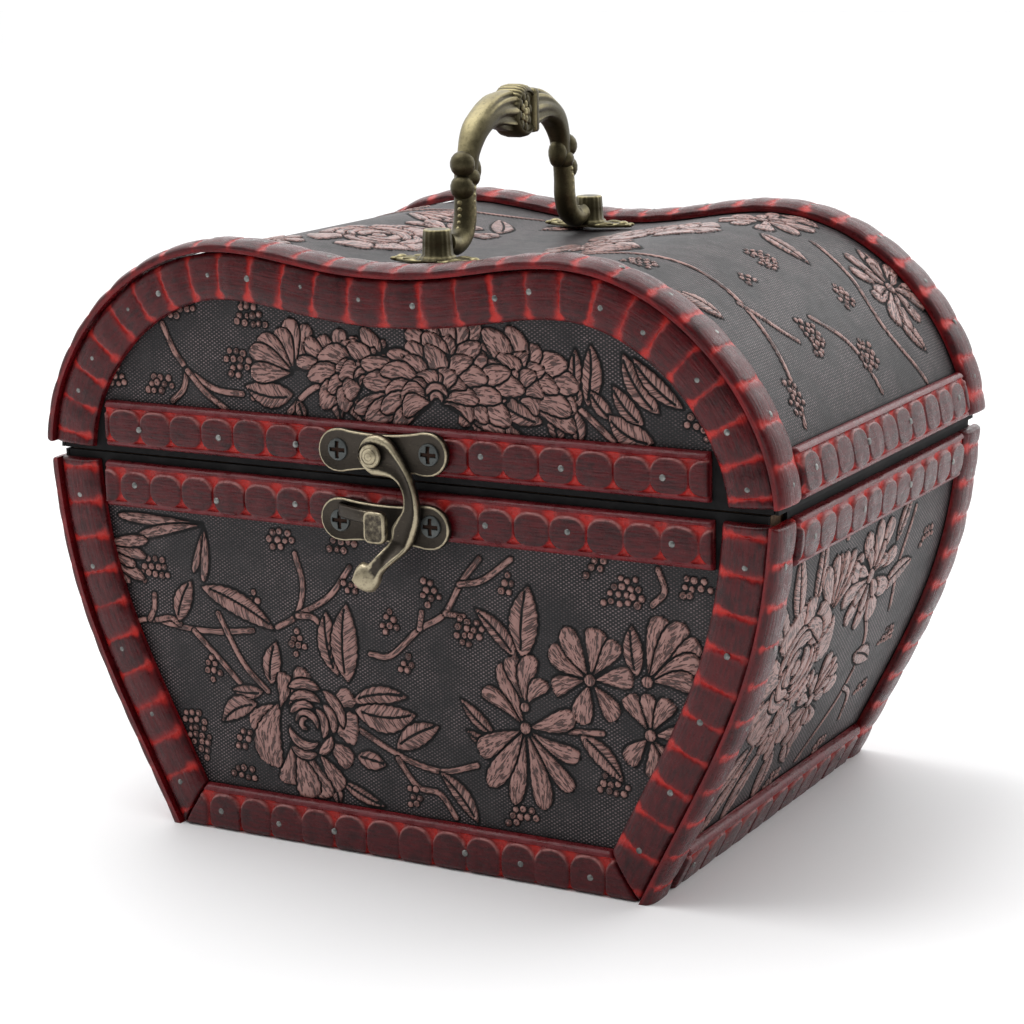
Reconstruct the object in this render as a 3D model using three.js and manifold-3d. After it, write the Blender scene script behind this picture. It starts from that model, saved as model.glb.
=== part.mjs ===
// A chest-shaped wind up music box: a flared wooden body and a double-humped lid, both covered in
// embossed leatherette and edged with carved wooden strips, with a carrying handle, a swing latch,
// two rear hinges and a key-wound musical movement inside.
// Millimetres. +X to the right, +Y to the rear, +Z up. The origin is the centre of the underside.

import * as THREE from "three";
import { mergeVertices } from "three/addons/utils/BufferGeometryUtils.js";
import Module from "manifold-3d";

const wasm = await Module();
wasm.setup();

// ---------- driving dimensions ----------

const DEPTH = 112; // over the faces of the front and back strips
const BASE_HALF = 55.1; // half width of the body at the floor, over the covering
const SEAM_HALF = 83.2; // half width of the body at the seam, over the covering
const SEAM_Z = 80.5; // height of the joint between body and lid
const LID_OVERHANG = 1; // the lid is this much wider than the body on each side
const LID_RISE = 44.3; // from the seam to the top of a hump, over the covering
const HUMP_X = 38; // each hump's crest, from the middle
const VALLEY = 3.7; // how far the middle of the lid dips below the crests
const FLARE_LEAN = 26.5; // degrees that the foot of the side leans outwards
const SEAM_LEAN = 3; // degrees that the side still leans at the seam

const PANEL_T = 5; // front, back and bottom boards
const SIDE_T = 4; // bent side boards and lid top
const COVER_T = 0.7; // leatherette
const STRIP_T = 2.6;
const STRIP_W = 9.7;
const SEAM_SETBACK = 1.7; // from the seam to the edge of the strips beside it
const LAYER_GAP = 0.3; // between layers that are glued or nailed together
const STRIP_END_GAP = 1; // a straight strip's end from the strip that it meets
const SEAM_GAP = 0.4; // between the rims of body and lid
const SKIRT = 0.6; // the covering stops this far above the floor

const HINGE_X = 45; // each hinge, from the middle
const HINGE_W = 24;
const LEAF_H = 10.5;
const LEAF_T = 1;
const KNUCKLE_R = 1.9;
const PIN_R = 0.85;
const PIN_CLEARANCE = 0.12;
const KNUCKLE_PLAY = 0.25; // between neighbouring knuckles, and round the lid leaf
const KNUCKLE_REACH = 3; // above and below the pin, taken up by the hinge's knuckles and their play

const LATCH_X = -1.2; // pivot of the hook
const LATCH_RISE = 5.9; // pivot above the seam
const PLATE_T = 1.2;
const PLATE_HALF_SPAN = 10.6; // from the middle of a plate to the centre of its end lobes
const LOBE_R = 4.5;
const HOOK_T = 1.7;
const RIVET_R = 1.3;
const RIVET_HEAD_R = 2.4;
const RIVET_HEAD_T = 1;
const RIVET_PLAY = 0.15; // round the rivet's shank
const LATCH_CLEARANCE = 0.3;
const HOOK_HEAD_R = 4.2;
const TAIL_T = 2; // of the hook's tail, which passes in front of the tongue
const TONGUE_T = 1.5;
const TONGUE_H = 4.8;
const PLATE_LIFT = 0.4; // the lid's plate is this much higher than the hook's pivot

const POST_Y = 33.5; // each handle post, from the middle
const POST_R = 3.2;
const POST_H = 5.6;
const MOUNT_T = 1.2;
const MOUNT_HALF_L = 10.5;
const MOUNT_HALF_W = 3.8;
const BAIL_PIVOT_H = 2.1; // above the top of the mount plate
const BAIL_HALF = 22; // legs of the handle, from the middle
const BAIL_RISE = 30.6; // from the pivot to the top of the handle
const BAIL_PIN_R = 0.9;
const BAIL_PIN_PLAY = 0.3;
const BAIL_BOSS_R = 1.6; // between a leg's foot and its post
const BAIL_FOOT_H = 1.7; // half the height of the handle's bar at its foot
const BAIL_SHOULDER_H = 3.3; // the same where the legs meet the grip
const BAIL_TOP_H = 4.5; // the same at the top
const BAIL_FOOT_OUT = 4.6; // how far the feet turn outwards past the legs
const LEG_HALF_W = 2.2;
const GRIP_HALF_W = 3.5;

const TEETH_GREAT = 36;
const TEETH_PINION = 12;
const GREAT_MODULE = 0.9;
const TEETH_CYLINDER = 32;
const TEETH_SMALL = 8;
const CYLINDER_MODULE = 0.6;
const TEETH_GOVERNOR = 32;
const GOVERNOR_MODULE = 0.5;
const CYLINDER_R = 7;
const CYLINDER_L = 26;
const COMB_TEETH = 18;
const BARREL_R = 13;
const BARREL_L = 20;
const ARBOR_R = 1.9;
const SHAFT_R = 1;
const GOVERNOR_SHAFT_R = 0.8;
const FAN_SHAFT_R = 0.6;
const SHAFT_CLEARANCE = 0.2;
const GREAT_WHEEL_T = 3;
const TRAIN_WHEEL_T = 2;
const GOVERNOR_WHEEL_T = 1.2;
const SIDE_PLAY = 1; // between a wheel and the upright beside it
const SHAFT_END = 0.5; // a shaft stands out this far behind its upright
const UPRIGHT_T = 2;
const FAN_HALF = 5.6;
const FAN_BLADE_T = 0.8;
const FAN_L = 7;
const COMB_T = 1.2;
const COMB_GAP = 0.9; // from the cylinder to the tips of the comb
const TOOTH_L = 17; // the comb's longest tooth
const TOOTH_TAPER = 4; // the shortest tooth is this much shorter
const TOOTH_SLOT = 0.35;
const COMB_ROOT_W = 9;
const BEDPLATE_T = 2.4;
const BARREL_X = -24; // axis of the spring barrel
const KEY_HALF_SPAN = 12; // half the width of the key's bow
const KEY_BOW_R = 5.6; // each lobe of the bow
const KEY_BOW_T = 2;
const KEY_WALL = 1.3; // round the arbor
const WALL_T = 2.5; // lined boards of the compartment

// ---------- materials ----------

function material(color, roughness, metalness) {
  return new THREE.MeshStandardMaterial({ color, roughness, metalness });
}

const board = material(0x6b4a33, 0.8, 0);
const leatherette = material(0x3b3233, 0.55, 0);
const redStrip = material(0x6e1a20, 0.4, 0);
const antiqueBrass = material(0x6a5d3e, 0.45, 0.9);
const brass = material(0xb08d4a, 0.35, 1);
const steel = material(0x9a9ca0, 0.35, 1);
const castZinc = material(0x85837f, 0.5, 0.9);
const velvet = material(0x5a1420, 0.95, 0);

// ---------- geometry helpers ----------

const vec2 = (x, y) => new THREE.Vector2(x, y);

// A closed outline swept by a length along its own normal, as an ExtrudeGeometry.
function slab(points, length, holes = []) {
  const shape = new THREE.Shape(points);
  shape.holes = holes.map((hole) => new THREE.Path(hole));
  return new THREE.ExtrudeGeometry(shape, { depth: length, bevelEnabled: false, curveSegments: 8 });
}

function circlePoints(radius, count, cx = 0, cy = 0) {
  return Array.from({ length: count }, (_, i) => {
    const a = (2 * Math.PI * i) / count;
    return vec2(cx + radius * Math.cos(a), cy + radius * Math.sin(a));
  });
}

function rectangle(x0, y0, x1, y1) {
  return [vec2(x0, y0), vec2(x1, y0), vec2(x1, y1), vec2(x0, y1)];
}

// Puts a slab drawn in X and Z between two depths y0 and y1.
function alongY(geometry, y1) {
  return geometry.clone().rotateX(Math.PI / 2).translate(0, y1, 0);
}

function slabY(points, y0, y1, holes = []) {
  return alongY(slab(points, y1 - y0, holes), y1);
}

// A slab drawn in Y and Z between two widths x0 and x1.
const ONTO_X = new THREE.Matrix4().makeBasis(
  new THREE.Vector3(0, 1, 0),
  new THREE.Vector3(0, 0, 1),
  new THREE.Vector3(1, 0, 0),
);

function slabX(points, x0, x1) {
  return slab(points, x1 - x0).applyMatrix4(ONTO_X).translate(x0, 0, 0);
}

// A round bar along Y through (x, z).
function rodY(radius, x, z, y0, y1, sides = 16) {
  return new THREE.CylinderGeometry(radius, radius, y1 - y0, sides).translate(x, (y0 + y1) / 2, z);
}

function solid(geometry) {
  const bare = geometry.clone();
  bare.deleteAttribute("normal");
  bare.deleteAttribute("uv");
  const merged = mergeVertices(bare, 1e-4);
  const triVerts = new Uint32Array(merged.index.array);
  const vertProperties = merged.attributes.position.array;
  return new wasm.Manifold(new wasm.Mesh({ numProp: 3, vertProperties, triVerts }));
}

function geometryOf(body) {
  const mesh = body.getMesh();
  const geometry = new THREE.BufferGeometry();
  geometry.setAttribute("position", new THREE.BufferAttribute(mesh.vertProperties, 3));
  geometry.setIndex(new THREE.BufferAttribute(mesh.triVerts, 1));
  geometry.computeVertexNormals();
  return geometry;
}

function join(...geometries) {
  return geometries.map(solid).reduce((all, next) => all.add(next));
}

function cut(body, ...geometries) {
  return geometries.map(solid).reduce((left, tool) => left.subtract(tool), body);
}

const root = new THREE.Group();
const chest = new THREE.Group();
const lid = new THREE.Group();
root.add(chest, lid);

function add(group, name, geometry, finish) {
  const mesh = new THREE.Mesh(geometry, finish);
  mesh.name = name;
  group.add(mesh);
  return mesh;
}

// A slab drawn in X and Z, placed by the mesh's own position and rotation.
function addSlabY(group, name, points, y0, y1, finish, holes = []) {
  const mesh = add(group, name, slab(points, y1 - y0, holes), finish);
  mesh.rotation.x = Math.PI / 2;
  mesh.position.y = y1;
  return mesh;
}

// ---------- outlines of body and lid ----------

const radians = THREE.MathUtils.degToRad;
const bodyRim = SEAM_Z - SEAM_GAP / 2;
const lidRim = SEAM_Z + SEAM_GAP / 2;

// Over the covering, the right side of the body rises in one curve from the floor to the seam.
const bodySide = new THREE.CubicBezierCurve(
  vec2(BASE_HALF, 0),
  vec2(
    BASE_HALF + 0.47 * SEAM_Z * Math.sin(radians(FLARE_LEAN)),
    0.47 * SEAM_Z * Math.cos(radians(FLARE_LEAN)),
  ),
  vec2(SEAM_HALF - 0.42 * SEAM_Z * Math.sin(radians(SEAM_LEAN)), 0.58 * SEAM_Z),
  vec2(SEAM_HALF, SEAM_Z),
);

// The lid's right side turns over a shoulder to the crest, then sinks to the valley in the middle.
const lidHalf = SEAM_HALF + LID_OVERHANG;
const crestZ = SEAM_Z + LID_RISE;
const valleyZ = crestZ - VALLEY;
const lidShoulder = new THREE.CubicBezierCurve(
  vec2(lidHalf, SEAM_Z),
  vec2(lidHalf, SEAM_Z + 0.43 * LID_RISE),
  vec2(HUMP_X + 0.58 * (lidHalf - HUMP_X), crestZ),
  vec2(HUMP_X, crestZ),
);
const lidCrest = new THREE.CubicBezierCurve(
  vec2(HUMP_X, crestZ),
  vec2(0.68 * HUMP_X, crestZ),
  vec2(0.45 * HUMP_X, valleyZ),
  vec2(0, valleyZ),
);

const SIDE_STEPS = 9;
const SHOULDER_STEPS = 12;
const CREST_STEPS = 5;
const OVERRUN = 20; // an outline runs on straight this far past its ends, to be trimmed

const bodyLine = bodySide.getPoints(SIDE_STEPS);
const lidRightLine = [
  ...lidShoulder.getPoints(SHOULDER_STEPS),
  ...lidCrest.getPoints(CREST_STEPS).slice(1),
];
const mirrored = (points) => points.map((p) => vec2(-p.x, p.y)).reverse();
const lidLine = [...lidRightLine, ...mirrored(lidRightLine).slice(1)];

function runOn(points) {
  const first = points[0].clone().sub(points[1]).setLength(OVERRUN).add(points[0]);
  const last = points.at(-1).clone().sub(points.at(-2)).setLength(OVERRUN).add(points.at(-1));
  return [first, ...points, last];
}

// The line moved sideways: positive is to the right of its direction of travel, away from the box.
function offset(points, distance) {
  const run = runOn(points);
  return run.map((p, i) => {
    const before = (run[i - 1] ?? run[i]).clone();
    const after = (run[i + 1] ?? run[i]).clone();
    const along1 = p.clone().sub(before).normalize();
    const along2 = after.sub(p).normalize();
    const along = along1.clone().add(along2).normalize();
    const stretch = along1.lengthSq() && along2.lengthSq() ? along.dot(along1) : 1;
    return vec2(p.x + (along.y * distance) / stretch, p.y - (along.x * distance) / stretch);
  });
}

// Keeps the stretch of a line that lies between two heights, cutting the segments that cross them.
function between(points, low, high) {
  const kept = [];
  points.forEach((p, i) => {
    const q = points[i + 1];
    if (p.y >= low && p.y <= high) kept.push(p);
    if (!q) return;
    const crossings = [low, high]
      .map((level) => (level - p.y) / (q.y - p.y))
      .filter((t) => t > 1e-9 && t < 1 - 1e-9)
      .sort((a, b) => a - b);
    crossings.forEach((t) => kept.push(p.clone().lerp(q, t)));
  });
  return kept;
}

const SKY = 1e4;
const bodyEdge = (distance, low = 0, high = bodyRim) => between(offset(bodyLine, distance), low, high);
const lidEdge = (distance, low = lidRim) => between(offset(lidLine, distance), low, SKY);

function halfWidthAt(distance, z) {
  return bodyEdge(distance, z, SKY)[0].x;
}

function lidHalfWidthAt(distance, z) {
  return lidEdge(distance, z)[0].x;
}

// The area between two offsets of one line.
const band = (outer, inner) => [...outer, ...inner.slice().reverse()];

// Offsets of the layers, counted inwards from the face of the covering.
const coverBack = -COVER_T;
const boardFace = coverBack - LAYER_GAP;
const boardBack = boardFace - SIDE_T;
const stripBack = LAYER_GAP;
const stripFace = stripBack + STRIP_T;

// Depths of the front layers; the back is their mirror.
const faceY = -DEPTH / 2;
const faceStripBackY = faceY + STRIP_T;
const coverFaceY = faceStripBackY + LAYER_GAP;
const coverBackY = coverFaceY + COVER_T;
const boardFaceY = coverBackY + LAYER_GAP;
const boardBackY = boardFaceY + PANEL_T;
const innerY = boardBackY + LAYER_GAP; // what fits between the front and back boards stops here

const bodyStripTop = SEAM_Z - SEAM_SETBACK;
const lidStripBottom = SEAM_Z + SEAM_SETBACK;

// ---------- winding arbor's place, which the back board and covering are bored for ----------

const floorTop = PANEL_T;
const bedTop = floorTop + LAYER_GAP + BEDPLATE_T;
const greatR = (GREAT_MODULE * TEETH_GREAT) / 2;
const gearZ = bedTop + LAYER_GAP + greatR + GREAT_MODULE;
const arborHoleR = ARBOR_R + 1;
const arborHole = circlePoints(arborHoleR, 16, BARREL_X, gearZ);

// ---------- boards and covering ----------

function pairY(group, frontName, backName, points, y0, y1, finish, backHoles = []) {
  addSlabY(group, frontName, points, y0, y1, finish);
  addSlabY(group, backName, points, -y1, -y0, finish, backHoles);
}

function bodyBoards() {
  const right = bodyEdge(boardFace);
  const outline = [...right, ...mirrored(right)];
  pairY(chest, "front_panel", "back_panel", outline, boardFaceY, boardBackY, board, [arborHole]);
  const side = band(bodyEdge(boardFace), bodyEdge(boardBack));
  addSlabY(chest, "right_panel", side, innerY, -innerY, board);
  addSlabY(chest, "left_panel", mirrored(side), innerY, -innerY, board);
  const low = halfWidthAt(boardBack - LAYER_GAP, 0);
  const high = halfWidthAt(boardBack - LAYER_GAP, PANEL_T);
  const floor = [vec2(-low, 0), vec2(low, 0), vec2(high, PANEL_T), vec2(-high, PANEL_T)];
  addSlabY(chest, "bottom_panel", floor, innerY, -innerY, board);
}

function bodyCovering() {
  const right = bodyEdge(boardFace, SKIRT);
  const outline = [...right, ...mirrored(right)];
  const names = ["front_covering", "back_covering"];
  pairY(chest, ...names, outline, coverFaceY, coverBackY, leatherette, [arborHole]);
  const side = band(bodyEdge(0, SKIRT), bodyEdge(coverBack, SKIRT));
  addSlabY(chest, "right_covering", side, coverFaceY, -coverFaceY, leatherette);
  addSlabY(chest, "left_covering", mirrored(side), coverFaceY, -coverFaceY, leatherette);
}

function lidBoards() {
  pairY(lid, "lid_front_panel", "lid_back_panel", lidEdge(boardFace), boardFaceY, boardBackY, board);
  const arch = band(lidEdge(boardFace), lidEdge(boardBack));
  addSlabY(lid, "lid_top_panel", arch, innerY, -innerY, board);
}

function lidCovering() {
  const names = ["lid_front_covering", "lid_back_covering"];
  pairY(lid, ...names, lidEdge(boardFace), coverFaceY, coverBackY, leatherette);
  const arch = band(lidEdge(0), lidEdge(coverBack));
  addSlabY(lid, "lid_top_covering", arch, coverFaceY, -coverFaceY, leatherette);
}

// ---------- carved strips ----------

function bodyFaceStrips() {
  const outer = bodyEdge(0, 0, bodyStripTop);
  const inner = bodyEdge(-STRIP_W, STRIP_W, bodyStripTop);
  const upright = band(outer, inner);
  const y0 = faceY;
  const y1 = faceStripBackY;
  pairY(chest, "front_right_strip", "back_right_strip", upright, y0, y1, redStrip);
  pairY(chest, "front_left_strip", "back_left_strip", mirrored(upright), y0, y1, redStrip);
  const mitre = LAYER_GAP;
  const low = outer[0].x - mitre;
  const high = inner[0].x - mitre;
  const base = [vec2(-low, 0), vec2(low, 0), vec2(high, STRIP_W), vec2(-high, STRIP_W)];
  pairY(chest, "front_base_strip", "back_base_strip", base, y0, y1, redStrip);
  const seamLow = bodyStripTop - STRIP_W;
  const reach = halfWidthAt(-STRIP_W, seamLow) - STRIP_END_GAP;
  const seam = rectangle(-reach, seamLow, reach, bodyStripTop);
  pairY(chest, "front_seam_strip", "back_seam_strip", seam, y0, y1, redStrip);
}

function bodySideStrips() {
  const edge = band(bodyEdge(stripFace, 0, bodyStripTop), bodyEdge(stripBack, 0, bodyStripTop));
  const y0 = faceY;
  const y1 = faceY + STRIP_W;
  pairY(chest, "right_front_strip", "right_back_strip", edge, y0, y1, redStrip);
  pairY(chest, "left_front_strip", "left_back_strip", mirrored(edge), y0, y1, redStrip);
  const reach = y1 + STRIP_END_GAP;
  const across = {
    base_strip: [0, STRIP_W],
    seam_strip: [bodyStripTop - STRIP_W, bodyStripTop],
  };
  for (const [name, [low, high]] of Object.entries(across)) {
    const section = band(bodyEdge(stripFace, low, high), bodyEdge(stripBack, low, high));
    addSlabY(chest, "right_" + name, section, reach, -reach, redStrip);
    addSlabY(chest, "left_" + name, mirrored(section), reach, -reach, redStrip);
  }
}

function lidStrips() {
  const seamHigh = lidStripBottom + STRIP_W;
  const arch = band(lidEdge(0, lidStripBottom), lidEdge(-STRIP_W, lidStripBottom));
  pairY(lid, "lid_front_arch_strip", "lid_back_arch_strip", arch, faceY, faceStripBackY, redStrip);
  const reach = lidHalfWidthAt(-STRIP_W, seamHigh) - STRIP_END_GAP;
  const seam = rectangle(-reach, lidStripBottom, reach, seamHigh);
  pairY(lid, "lid_front_seam_strip", "lid_back_seam_strip", seam, faceY, faceStripBackY, redStrip);
  const over = band(lidEdge(stripFace, lidStripBottom), lidEdge(stripBack, lidStripBottom));
  const edgeY = faceY + STRIP_W;
  pairY(lid, "lid_top_front_strip", "lid_top_back_strip", over, faceY, edgeY, redStrip);
  const endY = edgeY + STRIP_END_GAP;
  const onSide = (points) => points.filter((p) => p.x > 0 && p.y < seamHigh);
  const rightOf = (distance) => {
    const line = lidEdge(distance, lidStripBottom);
    const low = onSide(line);
    const next = line[low.length];
    const t = (seamHigh - low.at(-1).y) / (next.y - low.at(-1).y);
    return [...low, low.at(-1).clone().lerp(next, t)];
  };
  const side = band(rightOf(stripFace), rightOf(stripBack));
  addSlabY(lid, "lid_right_seam_strip", side, endY, -endY, redStrip);
  addSlabY(lid, "lid_left_seam_strip", mirrored(side), endY, -endY, redStrip);
}

// ---------- hinges ----------

const hingeY = -faceY + LAYER_GAP + KNUCKLE_R;

function hinges() {
  const leafY0 = -faceY + LAYER_GAP;
  const leafY1 = leafY0 + LEAF_T;
  const third = HINGE_W / 3;
  const play = KNUCKLE_PLAY;
  const bore = PIN_R + PIN_CLEARANCE;
  const neck = KNUCKLE_R - bore;
  for (const [side, x] of [["left", -HINGE_X], ["right", HINGE_X]]) {
    const x0 = x - HINGE_W / 2;
    const x1 = x + HINGE_W / 2;
    const barrel = circlePoints(KNUCKLE_R, 12, hingeY, SEAM_Z);
    const knuckle = (from, to) => slabX(barrel, from, to);
    const drill = slabX(circlePoints(bore, 12, hingeY, SEAM_Z), x0 - 1, x1 + 1);
    const pin = slabX(circlePoints(PIN_R, 12, hingeY, SEAM_Z), x0 + play, x1 - play);
    const middle = [x0 + third + play, x1 - third - play];
    const lowZ = bodyStripTop - LEAF_H;
    const highZ = lidStripBottom + LEAF_H;
    const lowLeaf = slabX(rectangle(leafY0, lowZ, leafY1, SEAM_Z - bore), x0, x1);
    const highLeaf = slabX(rectangle(leafY0, SEAM_Z + bore + play, leafY1, highZ), x0, x1);
    const high = SEAM_Z + KNUCKLE_REACH;
    const tab = slabX(rectangle(leafY0, SEAM_Z - neck, leafY1, high), ...middle);
    const ends = join(lowLeaf, knuckle(x0, x0 + third), knuckle(x1 - third, x1));
    const wideMiddle = [x0 + third, x1 - third];
    const gapLow = SEAM_Z - bore - KNUCKLE_R + play;
    const gapShape = rectangle(leafY0 - 1, gapLow, hingeY + KNUCKLE_REACH, high);
    const gap = slabX(gapShape, ...wideMiddle);
    const bodyLeaf = cut(ends, gap).add(solid(pin));
    const lidLeaf = cut(join(highLeaf, tab), ...endReliefs(x0, x1, third, play, leafY0));
    const lidKnuckle = lidLeaf.add(solid(knuckle(...middle))).subtract(solid(drill));
    add(chest, `hinge_${side}_body_leaf`, geometryOf(bodyLeaf), antiqueBrass);
    add(lid, `hinge_${side}_lid_leaf`, geometryOf(lidKnuckle), antiqueBrass);
  }
}

// The lid leaf stands clear of the body leaf's two outer knuckles.
function endReliefs(x0, x1, third, play, leafY0) {
  const low = SEAM_Z - KNUCKLE_REACH;
  const high = SEAM_Z + KNUCKLE_R + play;
  const notch = rectangle(leafY0 - 1, low, leafY0 + 2 * KNUCKLE_REACH, high);
  return [slabX(notch, x0 - 1, x0 + third + play), slabX(notch, x1 - third - play, x1 + 1)];
}

// ---------- swing latch ----------

const plateFrontY = faceY - LAYER_GAP;
const hookBackY = plateFrontY - PLATE_T - LATCH_CLEARANCE;
const hookFrontY = hookBackY - HOOK_T;
const pivotZ = SEAM_Z + LATCH_RISE;

function latchPlateOutline(cx, cz) {
  const shape = new THREE.Shape();
  const waist = 0.8 * LOBE_R;
  const flat = 0.55 * PLATE_HALF_SPAN;
  shape.absarc(cx + PLATE_HALF_SPAN, cz, LOBE_R, -Math.PI / 2, Math.PI / 2, false);
  shape.lineTo(cx + flat, cz + waist);
  shape.lineTo(cx - flat, cz + waist);
  shape.absarc(cx - PLATE_HALF_SPAN, cz, LOBE_R, Math.PI / 2, 1.5 * Math.PI, false);
  shape.lineTo(cx - flat, cz - waist);
  shape.lineTo(cx + flat, cz - waist);
  return shape.getPoints(6);
}

// Points of the hook's flat part, from its pivot, going down its outer side and up its inner side.
const HOOK_OUTSIDE = [[1, 4.2], [4.2, 3], [6, 0.4], [8, -2.6], [9.2, -5.6], [10, -8.6], [10.2, -12],
  [9.5, -14.9], [7.9, -18.2], [5.1, -21.4]];
const HOOK_INSIDE = [[2.4, -19.8], [3.7, -18.1], [4, -16], [4, -13.9], [5.4, -12.7], [6.7, -11],
  [7.1, -8.4], [6.5, -5.8], [5.2, -4.5], [3.6, -4]];
const KEEPER_DROP = 14.2; // from the hook's pivot to the middle of the keeper's plate
const EYE = [3.7, -19.9]; // from the pivot to where the hook turns forwards into its tail
// Points of the tail, from the same turn, going anticlockwise.
const TAIL = [[1.4, 0.6], [-1.2, 0.9], [-6.3, -2.8], [-4.3, -6.2], [-0.7, -5.6], [1.8, -2]];
const RISER = [-1.6, -1.4, 1.4, 0.6]; // the turn itself, from the same point
const BITE = 0.1; // how far parts that are one piece run into each other

// The keeper's tongue, seen from above, from the middle of its plate.
const TONGUE_ROOT_X = -9.6;
const TONGUE_BEND_X = -4;
const TONGUE_TIP_X = 2.1;
const TONGUE_ROOT_W = 2.2;

function latch() {
  const plateBackY = plateFrontY - PLATE_T;
  const shankHole = RIVET_R + RIVET_PLAY;
  const plate = cut(
    solid(slabY(latchPlateOutline(0, pivotZ + PLATE_LIFT), plateBackY, plateFrontY)),
    rodY(shankHole, LATCH_X, pivotZ, plateBackY - 1, plateFrontY + 1),
  );
  add(lid, "latch_plate", geometryOf(plate), antiqueBrass);

  const headY = hookFrontY - LATCH_CLEARANCE;
  const rivet = join(
    rodY(RIVET_R, LATCH_X, pivotZ, headY - BITE, plateFrontY - BITE),
    rodY(RIVET_HEAD_R, LATCH_X, pivotZ, headY - RIVET_HEAD_T, headY),
  );
  add(lid, "latch_rivet", geometryOf(rivet), antiqueBrass);

  const from = (x, z) => ([dx, dz]) => vec2(x + dx, z + dz);
  const onPivot = from(LATCH_X, pivotZ);
  const onEye = from(LATCH_X + EYE[0], pivotZ + EYE[1]);
  const head = circlePoints(HOOK_HEAD_R, 20, LATCH_X, pivotZ);
  const arm = [[0, 0], ...HOOK_OUTSIDE, ...HOOK_INSIDE].map(onPivot).reverse();
  const tongueFrontY = hookFrontY - LATCH_CLEARANCE - TONGUE_T;
  const tailY = tongueFrontY - LATCH_CLEARANCE;
  const low = onEye(RISER.slice(0, 2));
  const high = onEye(RISER.slice(2));
  const hook = cut(
    join(
      slabY(head, hookFrontY, hookBackY),
      slabY(arm, hookFrontY, hookBackY),
      slabY(rectangle(low.x, low.y, high.x, high.y), tailY - TAIL_T, hookBackY),
      slabY(TAIL.map(onEye), tailY - TAIL_T, tailY),
    ),
    rodY(shankHole, LATCH_X, pivotZ, hookFrontY - 1, hookBackY + 1),
  );
  add(lid, "latch_hook", geometryOf(hook), antiqueBrass);

  const keeperZ = pivotZ - KEEPER_DROP;
  const rootY = plateFrontY - BITE;
  const slope = TONGUE_ROOT_W / 4; // the bend's back lies this much nearer the tip
  const tongue = [
    vec2(TONGUE_ROOT_X, rootY),
    vec2(TONGUE_ROOT_X, plateBackY - 1),
    vec2(TONGUE_BEND_X, tongueFrontY),
    vec2(TONGUE_TIP_X, tongueFrontY),
    vec2(TONGUE_TIP_X, tongueFrontY + TONGUE_T),
    vec2(TONGUE_BEND_X + slope, tongueFrontY + TONGUE_T),
    vec2(TONGUE_ROOT_X + TONGUE_ROOT_W, rootY),
  ];
  const keeper = join(
    slabY(latchPlateOutline(0, keeperZ), plateBackY, plateFrontY),
    slab(tongue, TONGUE_H).translate(0, 0, keeperZ - TONGUE_H / 2),
  );
  add(chest, "latch_keeper", geometryOf(keeper), antiqueBrass);
}

// ---------- handle ----------

const mountZ = valleyZ + 0.6 + LAYER_GAP;
const mountTopZ = mountZ + MOUNT_T;
const bailZ = mountTopZ + BAIL_PIVOT_H;

// The leaf-shaped foot of a handle mount, from above.
function mountOutline() {
  const lobe = 0.55 * MOUNT_HALF_W;
  const reach = MOUNT_HALF_L - lobe;
  const broad = 0.4 * MOUNT_HALF_L;
  const leaf = new THREE.Shape();
  leaf.absarc(reach, 0, lobe, -Math.PI / 2, Math.PI / 2, false);
  leaf.lineTo(broad, MOUNT_HALF_W);
  leaf.lineTo(-broad, MOUNT_HALF_W);
  leaf.absarc(-reach, 0, lobe, Math.PI / 2, 1.5 * Math.PI, false);
  leaf.lineTo(-broad, -MOUNT_HALF_W);
  leaf.lineTo(broad, -MOUNT_HALF_W);
  return leaf.getPoints(5);
}

function handleMounts() {
  const taper = 0.92;
  const height = POST_H + MOUNT_T / 2;
  for (const [name, side] of [["handle_front_mount", -1], ["handle_back_mount", 1]]) {
    const y = side * POST_Y;
    const plate = slab(mountOutline(), MOUNT_T).translate(0, y, mountZ);
    const post = new THREE.CylinderGeometry(POST_R * taper, POST_R, height, 16)
      .rotateX(Math.PI / 2)
      .translate(0, y, mountTopZ - MOUNT_T / 2 + height / 2);
    const inner = y - side * (POST_R + 1);
    const holeR = BAIL_PIN_R + BAIL_PIN_PLAY;
    const hole = rodY(holeR, 0, bailZ, Math.min(inner, y), Math.max(inner, y), 12);
    add(lid, name, geometryOf(cut(join(plate, post), hole)), antiqueBrass);
  }
}

const bailTop = BAIL_RISE - BAIL_TOP_H - 0.1; // centre line, above the pivot

// Half the handle's centre line, from its foot to its top.
function bailLine() {
  const line = new THREE.SplineCurve([
    vec2(BAIL_HALF + BAIL_FOOT_OUT, -0.6),
    vec2(BAIL_HALF + 1.2, 1.6),
    vec2(BAIL_HALF, 6),
    vec2(0.97 * BAIL_HALF, 0.46 * bailTop),
    vec2(0.92 * BAIL_HALF, 0.7 * bailTop),
    vec2(0.71 * BAIL_HALF, 0.9 * bailTop),
    vec2(0.35 * BAIL_HALF, 0.985 * bailTop),
    vec2(0, bailTop),
  ]);
  return line.getSpacedPoints(18);
}

// Half the height of the bar, from 0 at a foot to 1 at the top.
function barHalfHeight(t) {
  const shoulder = 0.45;
  if (t < shoulder) return BAIL_FOOT_H + (BAIL_SHOULDER_H - BAIL_FOOT_H) * (t / shoulder);
  const past = (t - shoulder) / (1 - shoulder);
  return BAIL_SHOULDER_H + (BAIL_TOP_H - BAIL_SHOULDER_H) * past ** 2;
}

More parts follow.
